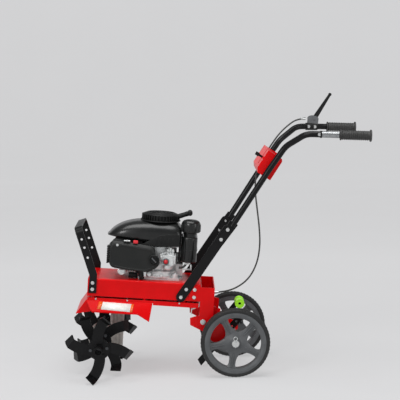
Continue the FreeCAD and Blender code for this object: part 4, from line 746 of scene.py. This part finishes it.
def engine_castings():
    """Die-cast sump and crankcase with its bolted flange, bosses, webs and drain plug."""
    centre = crank_centre()
    x = centre.x
    deck = square_box("crankcase")[0].z
    bm = bmesh.new()
    lathe(bm, [(0, 8), (81, 8), (82.5, 9.5), (82.5, 14), (81, 15.5), (77, 16), (75.5, 30), (71, 35),
               (66, 37), (66, 121), (60, 123), (0, 123)], (x, 0, deck), (0, 0, 1), 80)
    flange = [(-246, -74), (-96, -74), (-84, -40), (-84, 40), (-96, 74), (-246, 74), (-256, 40),
              (-256, -40)]
    slab(bm, [(px, py, deck) for px, py in flange], (0, 0, 9))
    for bx in (-230, -112):
        for by in (-62, 62):
            disc(bm, (bx, by, deck), (bx, by, deck + 24), 12.0, end_radius=10.5, segments=32)
    lug = block(bm, (x + 74, -5.5, deck + 9), (x + 86, 5.5, deck + 22), 2.0)
    around(bm, lug, centre, (0, 0, 1), 9)
    web = block(bm, (x + 64, -1.6, deck + 30), (x + 73, 1.6, deck + 96), 1.0, 2)
    around(bm, web, centre, (0, 0, 1), 14)
    block(bm, (-262, -46, deck + 23), (x - 50, 46, deck + 88), 5.0)
    block(bm, (-112, -36, deck + 9), (-84, 30, deck + 59), 4.0)
    block(bm, (-240, -56, deck + 121), (-103, 56, deck + 125), 1.0, 2)
    make(bm, "engine_casting", "cast_aluminium", nodes=("crankcase",))
    bm = bmesh.new()
    for step in range(9):
        turn = math.radians(20 + 40 * step)
        at = Vector((x + 80 * math.cos(turn), 80 * math.sin(turn), deck + 15.6))
        hex_head(bm, at, (0, 0, 1), 7.5, 3.4)
    hex_head(bm, (x - 30, -80, deck + 20), (0, -1, 0), 10.0, 5.0)
    make(bm, "sump_screws", "zinc")
    bm = bmesh.new()
    block(bm, (-282, -72, deck + 2), (-250, -48, deck + 20), 3.5)
    lathe(bm, [(0, 0), (9.5, 0), (9.5, 12), (8, 14), (8, 30), (13, 31), (14.4, 33), (14.4, 42),
               (12, 44.5), (0, 45)], (-232, -86, deck + 3), Vector((-0.25, -0.12, 1)), 40)
    make(bm, "oil_filler", "matte_black")
    bm = bmesh.new()
    prism(bm, [(-322, 172), (-296, 172), (-296, 158), (-304, 152), (-312, 152), (-322, 162)],
          -98, -94, rounding=0.8)
    disc(bm, (-309, -100, 161), (-309, -93, 161), 4.6, segments=6)
    block(bm, (-226, -96, deck + 12), (-217, -84, deck + 34), 1.6)
    make(bm, "engine_brackets", "zinc")


def fuel_hose():
    """Short fuel hose that drops from the tank and turns to the carburettor, with its clips."""
    bend = 22.0
    top = Vector((square_box("fuel_tank")[0].x + bend, -62, 207))
    bm = bmesh.new()
    circle = bmesh.ops.create_circle(bm, cap_ends=False, segments=20, radius=4.2)["verts"]
    bmesh.ops.translate(bm, verts=circle, vec=top)
    geom = circle + edges_of(circle)
    bmesh.ops.spin(bm, geom=geom, cent=top - Vector((bend, 0, 0)), axis=(0, 1, 0),
                   angle=math.radians(100), steps=20)
    make(bm, "fuel_hose", "rubber")
    bm = bmesh.new()
    lathe(bm, [(4.3, -3), (5.4, -3), (5.4, 3), (4.3, 3)], top - Vector((0, 0, 5)), (0, 0, 1), 32,
          closed=True)
    block(bm, top + Vector((4, -2, -8)), top + Vector((12, 2, -4)), 0.8, 2)
    block(bm, (-86, -70, 178), (-52, -66, 184), 1.0, 2)
    block(bm, (-58, -71, 178), (-52, -64, 200), 1.0, 2)
    make(bm, "hose_clips", "zinc")


# ---- wheels ----------------------------------------------------------------------------
SPOKES = 5
SPOKE_AIM = math.radians(-100.0)
TREAD_RADIUS = (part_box("tyre_left")[1].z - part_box("tyre_left")[0].z) / 2 / MM - 0.1


def spoke_section(reach, half_width, y_face, y_back):
    """Rounded section of a spoke at one distance from the hub, crowned on its outer face."""
    crown = 0.35 * half_width
    points = []
    for share in (-1, -0.86, -0.5, 0, 0.5, 0.86, 1):
        points.append((reach, y_face + crown * share ** 4 * 0.5, half_width * share))
    for share in (1, 0, -1):
        points.append((reach, y_back, half_width * share))
    return points


def wheel(side, body, rim_node, tyre_node):
    """Moulded five-spoke wheel, its tyre, and their place on the axle."""
    axle = Vector(JOINTS[body + "_spin"]["pos_m"])
    place = Matrix.Translation(axle) @ Matrix.Scale(MM, 4)
    bm = bmesh.new()
    barrel = [(99, 17), (94, 15.5), (92.5, 12), (92.5, 4), (94, -2), (94, -16), (97, -18.5),
              (111.8, -18.5), (111.8, 18.8), (106, 19.4), (102, 18.6)]
    lathe(bm, [(r, side * h) for r, h in barrel], (0, 0, 0), (0, 1, 0), 120, closed=True)
    hub = [(8.1, 22.8), (15, 22.8), (17.5, 21.5), (19, 18), (21, 16.4), (34, 13.5), (42, 9.5),
           (44, 6), (44, -5), (20, -7), (18.8, -22), (17, -22.8), (8.1, -22.8)]
    lathe(bm, [(r, side * h) for r, h in hub], (0, 0, 0), (0, 1, 0), 80, closed=True)
    for spoke in range(SPOKES):
        turn = Matrix.Rotation(-SPOKE_AIM - spoke * math.tau / SPOKES, 3, "Y")
        sections = ((20, 24, 13.2), (34, 23, 12.6), (44, 18.5, 11.0), (54, 14, 9.6), (66, 12, 9.0),
                    (78, 12, 9.2), (86, 13.6, 10.0), (92, 17.5, 11.6), (96, 23, 13.0))
        rings = []
        for reach, half_width, face in sections:
            ring = spoke_section(reach, half_width, side * face, side * -6.0)
            rings.append([turn @ Vector(point) for point in ring])
        loft(bm, rings)
        spine = block(bm, (38, side * 6, -2.2), (95, side * 14.2, 2.2), 1.6)
        for vert in spine:
            slope = (vert.co.x - 38) / (95 - 38)
            if vert.co.y * side > 10:
                vert.co.y -= side * (3.2 - 2.6 * abs(2 * slope - 1)) * 0.6
        bmesh.ops.rotate(bm, verts=spine, cent=(0, 0, 0), matrix=turn)
    make(bm, body + "_moulding", "wheel_grey", body, (rim_node,), place)
    bm = bmesh.new()
    tread = [(111.9, -19), (114, -20), (118, -21), (121.5, -20.2), (123.6, -17.5), (125, -13),
             (125.5, -10.4), (124, -9.8), (124, -8), (125.8, -7.4), (126.2, -1.2), (124.4, -0.9),
             (124.4, 0.9), (126.2, 1.2), (125.8, 7.4), (124, 8), (124, 9.8), (125.5, 10.4),
             (125, 13), (123.6, 17.5), (121.5, 20.2), (118, 21), (114, 20), (111.9, 19)]
    lathe(bm, tread, (0, 0, 0), (0, 1, 0), 144, closed=True)
    for low_y, high_y in ((-19.6, -11.2), (11.2, 19.6)):
        lug = block(bm, (121.5, low_y, -2.0), (126.0, high_y, 2.0), 0.7, 2)
        for vert in lug:
            if vert.co.x > 124 and abs(vert.co.y) > 16:
                vert.co.x -= 1.8
        around(bm, lug, (0, 0, 0), (0, 1, 0), 60)
    mid_lug = block(bm, (124, -6.8, -1.6), (TREAD_RADIUS, 6.8, 1.6), 0.5, 2)
    around(bm, mid_lug, (0, 0, 0), (0, 1, 0), 60)
    make(bm, body + "_tread", "tyre_rubber", body, (tyre_node,), place)


# ---- handlebar -------------------------------------------------------------------------
def tube_line(side):
    """Straight run of one upper tube under its grip, in the chassis's square frame."""
    return Vector((420, side * 224.0, 717)), Vector((547, side * 226.0, 721))


def ribbed_grip(side, name):
    """Ribbed rubber grip with a wide flange at its closed end."""
    start, end = tube_line(side)
    aim = (end - start).normalized()
    length = 112.0
    profile = [(11.1, -length + 4), (17, -length + 4), (19, -length + 5.5), (19, -length + 8),
               (16, -length + 10)]
    ribs = 14
    pitch = (length - 16) / ribs
    for step in range(ribs):
        at = -length + 11 + step * pitch
        profile += [(15.4, at), (17.2, at + 1.2), (17.2, at + pitch * 0.55),
                    (15.4, at + pitch * 0.75)]
    profile += [(16, -3.5), (20.5, -2.2), (21.5, -0.8), (21.5, 2.2), (20, 3.8), (0, 4)]
    profile += [(0, 0.5), (11.1, 0.5)]
    bm = bmesh.new()
    lathe(bm, profile, end, aim, 56, closed=True)
    make(bm, name + "_moulding", "rubber", nodes=(name,))


def bare_sleeve():
    """Bright inner tube that shows between the left tube's bend and its grip."""
    start, end = tube_line(-1)
    aim = (end - start).normalized()
    first = start - aim * 46
    bm = bmesh.new()
    lathe(bm, [(10.8, 0), (11.5, 0), (11.5, 62), (10.8, 62)], first, aim, 48, closed=True)
    make(bm, "bare_tube_sleeve", "steel")
    bm = bmesh.new()
    lathe(bm, [(11.2, -5), (12.6, -5), (12.9, 1.5), (11.2, 2)], first, aim, 48, closed=True)
    make(bm, "sleeve_collar", "black_paint")
    bm = bmesh.new()
    at = first - aim * 8
    hex_head(bm, at + Vector((0, -11, 0)), (0, -1, 0), 8.0, 3.5)
    make(bm, "sleeve_screw", "zinc")


def lever_bracket():
    """Clamp band round the right tube, with half-round cheeks that hold the lever's pin."""
    start, end = Vector((322, 206, 713)), Vector((420, 224, 717))
    aim = (end - start).normalized()
    pin = Vector((388, 219.5, 744))
    bm = bmesh.new()
    lathe(bm, [(11.05, 0), (13.2, 0), (14.2, 1), (14.2, 45), (13.2, 46), (11.05, 46)],
          start + aim * 36, aim, 48, closed=True)
    make(bm, "clamp_band", "matte_black")
    cheek = [(-25, -17), (-24, -4)]
    for step in range(13):
        turn = math.pi * (1 - step / 12)
        cheek.append((21 * math.cos(turn) - 4, 2 + 12 * math.sin(turn)))
    cheek += [(16, -17)]
    bm = bmesh.new()
    for y in (-9.8, 6.2):
        prism(bm, [(pin.x + x, pin.z + z) for x, z in cheek], pin.y + y, pin.y + y + 3.6,
              rounding=0.6, segments=2)
    disc(bm, pin + Vector((0, -12, 0)), pin + Vector((0, 12, 0)), 3.0, segments=24)
    block(bm, (362, pin.y - 9.8, 725.5), (404, pin.y + 9.8, 729), 1.0, 2)
    make(bm, "lever_bracket", "grey_metal", nodes=("clutch_bracket",))
    bm = bmesh.new()
    for x in (368, 392):
        tube_y = start.y + (x - start.x) / (end.x - start.x) * (end.y - start.y)
        for side in (-1, 1):
            hex_head(bm, (x, tube_y + side * 13.6, 715.6), (0, side, 0), 8.5, 3.6)
    make(bm, "clamp_screws", "zinc")


# ---- tines -----------------------------------------------------------------------------
FLANGES = ((95.0, 63.0), (215.0, 18.0))  # distance from the middle, angle of the first blade
BLADES = 4
BOLT_REACH = 29.5
BOLT_OFFSET = 3.8


def tine_bolts():
    """Bolt and nut that hold each blade's root to its flange."""
    axle = CHASSIS.inverted() @ Vector(JOINTS["tine_spin"]["pos_m"])
    bm = bmesh.new()
    for side in (-1, 1):
        for plane, first_angle in FLANGES:
            for blade in range(BLADES):
                turn = math.radians(first_angle + 360 / BLADES * blade)
                reach = Vector((math.cos(turn), 0, math.sin(turn))) * BOLT_REACH
                drop = Vector((math.sin(turn), 0, -math.cos(turn))) * BOLT_OFFSET
                outer, inner = (7.0, 2.5) if blade % 2 == 0 else (2.5, 7.0)
                at = axle + reach + drop
                hex_head(bm, at + Vector((0, side * (plane + outer), 0)), (0, side, 0), 8.0, 3.2)
                hex_head(bm, at + Vector((0, side * (plane - inner), 0)), (0, -side, 0), 8.0, 3.2)
    make(bm, "tine_bolts", "iron", "tines")


# ---- label -----------------------------------------------------------------------------
def skirt_point(x, z):
    """A place just outside the left skirt's sloping face, which falls from 58 to 22."""
    out_by_drop = (150.0 - 124.0) / (58.0 - 22.0)
    y = -(124.0 + (58.0 - z) * out_by_drop)
    return Vector((x, y, z)) + Vector((0, -0.82, 0.57)) * 0.5


def skirt_label():
    """Plain printed label on the left skirt: white panel with an orange end."""
    front = ((-382.0, 54.5), (-387.4, 29.9))
    rear = ((-254.8, 51.8), (-259.4, 25.5))
    split = 0.11

    def quad(name, first, last, finish):
        bm = bmesh.new()
        corners = []
        for share in (first, last):
            for end in (0, 1):
                x = front[end][0] + (rear[end][0] - front[end][0]) * share
                z = front[end][1] + (rear[end][1] - front[end][1]) * share
                corners.append(skirt_point(x, z))
        order = [corners[0], corners[2], corners[3], corners[1]]
        bm.faces.new([bm.verts.new(point) for point in order])
        film = make(bm, name, "red_paint", finish=finish).modifiers.new("film", "SOLIDIFY")
        film.thickness = 0.5 * MM
        film.offset = 0.0

    quad("label_white", split, 0.93, LABEL_WHITE)
    quad("label_orange_end", 0.0, split, LABEL_ORANGE)
    quad("label_orange_edge", 0.93, 1.0, LABEL_ORANGE)


# ---- clutch cable ----------------------------------------------------------------------
CABLE_ROUTE = [(354, 212, 744), (322, 202, 742), (286, 184, 716), (254, 164, 684),
               (228, 150, 645), (204, 143, 602), (181, 137, 563), (172, 120, 516),
               (173, 90, 462), (184, 60, 396), (195, 37, 330), (200, 22, 266), (192, 12, 204),
               (166, 5, 148), (124, 1, 112), (80, 0, 94), (37, 0, 88)]
CABLE_DIAMETER = 0.006


def clutch_cable():
    """Sheathed cable from the clutch lever down in front of the bar to the rear box."""
    curve = bpy.data.curves.new("clutch_cable_sheath", "CURVE")
    curve.dimensions = "3D"
    curve.bevel_depth = CABLE_DIAMETER / 2
    curve.bevel_resolution = 4
    curve.resolution_u = 12
    curve.use_fill_caps = True
    spline = curve.splines.new("NURBS")
    spline.points.add(len(CABLE_ROUTE) - 1)
    for point, at in zip(spline.points, CABLE_ROUTE):
        point.co = (*(CHASSIS @ Vector(at)), 1.0)
    spline.order_u = 3
    spline.use_endpoint_u = True
    curve.materials.append(FINISHES["rubber"])
    cable = show("clutch_cable_sheath", curve)
    fit(cable, "chassis", "rubber", "clutch_cable")
    bm = bmesh.new()
    for first, second in ((0, 1), (-1, -2)):
        start, then = Vector(CABLE_ROUTE[first]), Vector(CABLE_ROUTE[second])
        aim = (then - start).normalized()
        lathe(bm, [(3.05, 0), (5.0, 0), (5.0, 10), (4.0, 18), (3.05, 19)], start, aim, 28,
              closed=True)
    make(bm, "cable_ferrules", "zinc")


# ---- stage, light and camera -----------------------------------------------------------
def backdrop():
    """Pale round floor that sweeps up into a low wall on every side."""
    bm = bmesh.new()
    floor_r = 7.0
    sweep_r = 2.0
    wall_top = 3.4
    turns = 12
    profile = [(0.0, 0.0), (2.0, 0.0), (4.5, 0.0), (floor_r, 0.0)]
    for step in range(1, turns + 1):
        turn = math.pi / 2 * step / turns
        profile.append((floor_r + sweep_r * math.sin(turn), sweep_r - sweep_r * math.cos(turn)))
    profile.append((floor_r + sweep_r, wall_top))
    lathe(bm, profile, (0, 0, 0), (0, 0, 1), 96)
    bmesh.ops.remove_doubles(bm, verts=bm.verts, dist=0.001)
    bmesh.ops.recalc_face_normals(bm, faces=bm.faces)
    acrylic, tree, shader, place = start_material("backdrop_acrylic", Roughness=0.9,
                                                  Specular_IOR_Level=0.1)
    colour_by(tree, shader, blend_colours(tree, grain(tree, place, 600.0), "7D7D7E", "808081"))
    # The sheet is translucent and lit from behind, more strongly towards its wall.
    shader.inputs["Emission Color"].default_value = linear("D2D2D3")
    out = add(tree, "VectorMath", {"Vector": place}, operation="LENGTH")
    glow = add(tree, "MapRange", {"Value": out.outputs["Value"], "From Min": -300.0,
                                  "From Max": 2500.0, "To Min": 0.66, "To Max": 0.84})
    tree.links.new(glow.outputs["Result"], shader.inputs["Emission Strength"])
    mesh_object(bm, "backdrop", acrylic)


def soft_light(name, at, aim, size, power):
    data = bpy.data.lights.new(name, "AREA")
    data.shape = "RECTANGLE"
    data.size, data.size_y = size
    data.energy = power
    lamp = show(name, data)
    lamp.location = at
    lamp.rotation_euler = (Vector(aim) - Vector(at)).to_track_quat("-Z", "Y").to_euler()


def light_studio():
    world = bpy.data.worlds.new("studio_air")
    world.use_nodes = True
    air = world.node_tree.nodes["Background"]
    air.inputs["Color"].default_value = linear("E6E8EA")
    air.inputs["Strength"].default_value = 0.24
    bpy.context.scene.world = world
    soft_light("overhead_softbox", (-0.2, -0.5, 3.0), (0, 0, 0.4), (2.4, 1.8), 74)
    soft_light("front_left_softbox", (-2.3, -3.1, 2.3), (-0.1, 0, 0.4), (1.3, 1.3), 66)
    soft_light("right_strip", (2.9, -2.2, 1.3), (0.1, 0, 0.4), (0.7, 2.2), 22)


def set_camera():
    """Long lens from the left side, a little above and behind the middle."""
    data = bpy.data.cameras.new("side_camera")
    data.sensor_width = 36.0
    data.lens = 124.0
    camera = show("side_camera", data)
    down = math.radians(6.787)
    towards_rear = math.radians(0.784)
    roll = math.radians(0.95)
    turn = (Matrix.Rotation(roll, 4, "Y") @ Matrix.Rotation(-towards_rear, 4, "Z")
            @ Matrix.Rotation(math.pi / 2 - down, 4, "X"))
    camera.matrix_world = Matrix.Translation((-0.1135, -5.065, 1.2341)) @ turn
    bpy.context.scene.camera = camera
    bpy.context.scene.view_settings.view_transform = "Standard"


def build():
    set_camera()
    light_studio()
    backdrop()
    paint_nodes()
    clutch_cable()
    dress_frame()
    blower_cover()
    blower_side_panels()
    cylinder_baffle()
    recoil_cover()
    starter_grip()
    fuel_tank()
    filler_cap()
    air_cleaner()
    cleaner_knob()
    carburettor()
    engine_castings()
    fuel_hose()
    wheel(-1, "wheel_left", "wheel_rim_left", "tyre_left")
    wheel(1, "wheel_right", "wheel_rim_right", "tyre_right")
    ribbed_grip(-1, "grip_left")
    ribbed_grip(1, "grip_right")
    bare_sleeve()
    lever_bracket()
    tine_bolts()
    skirt_label()


build()
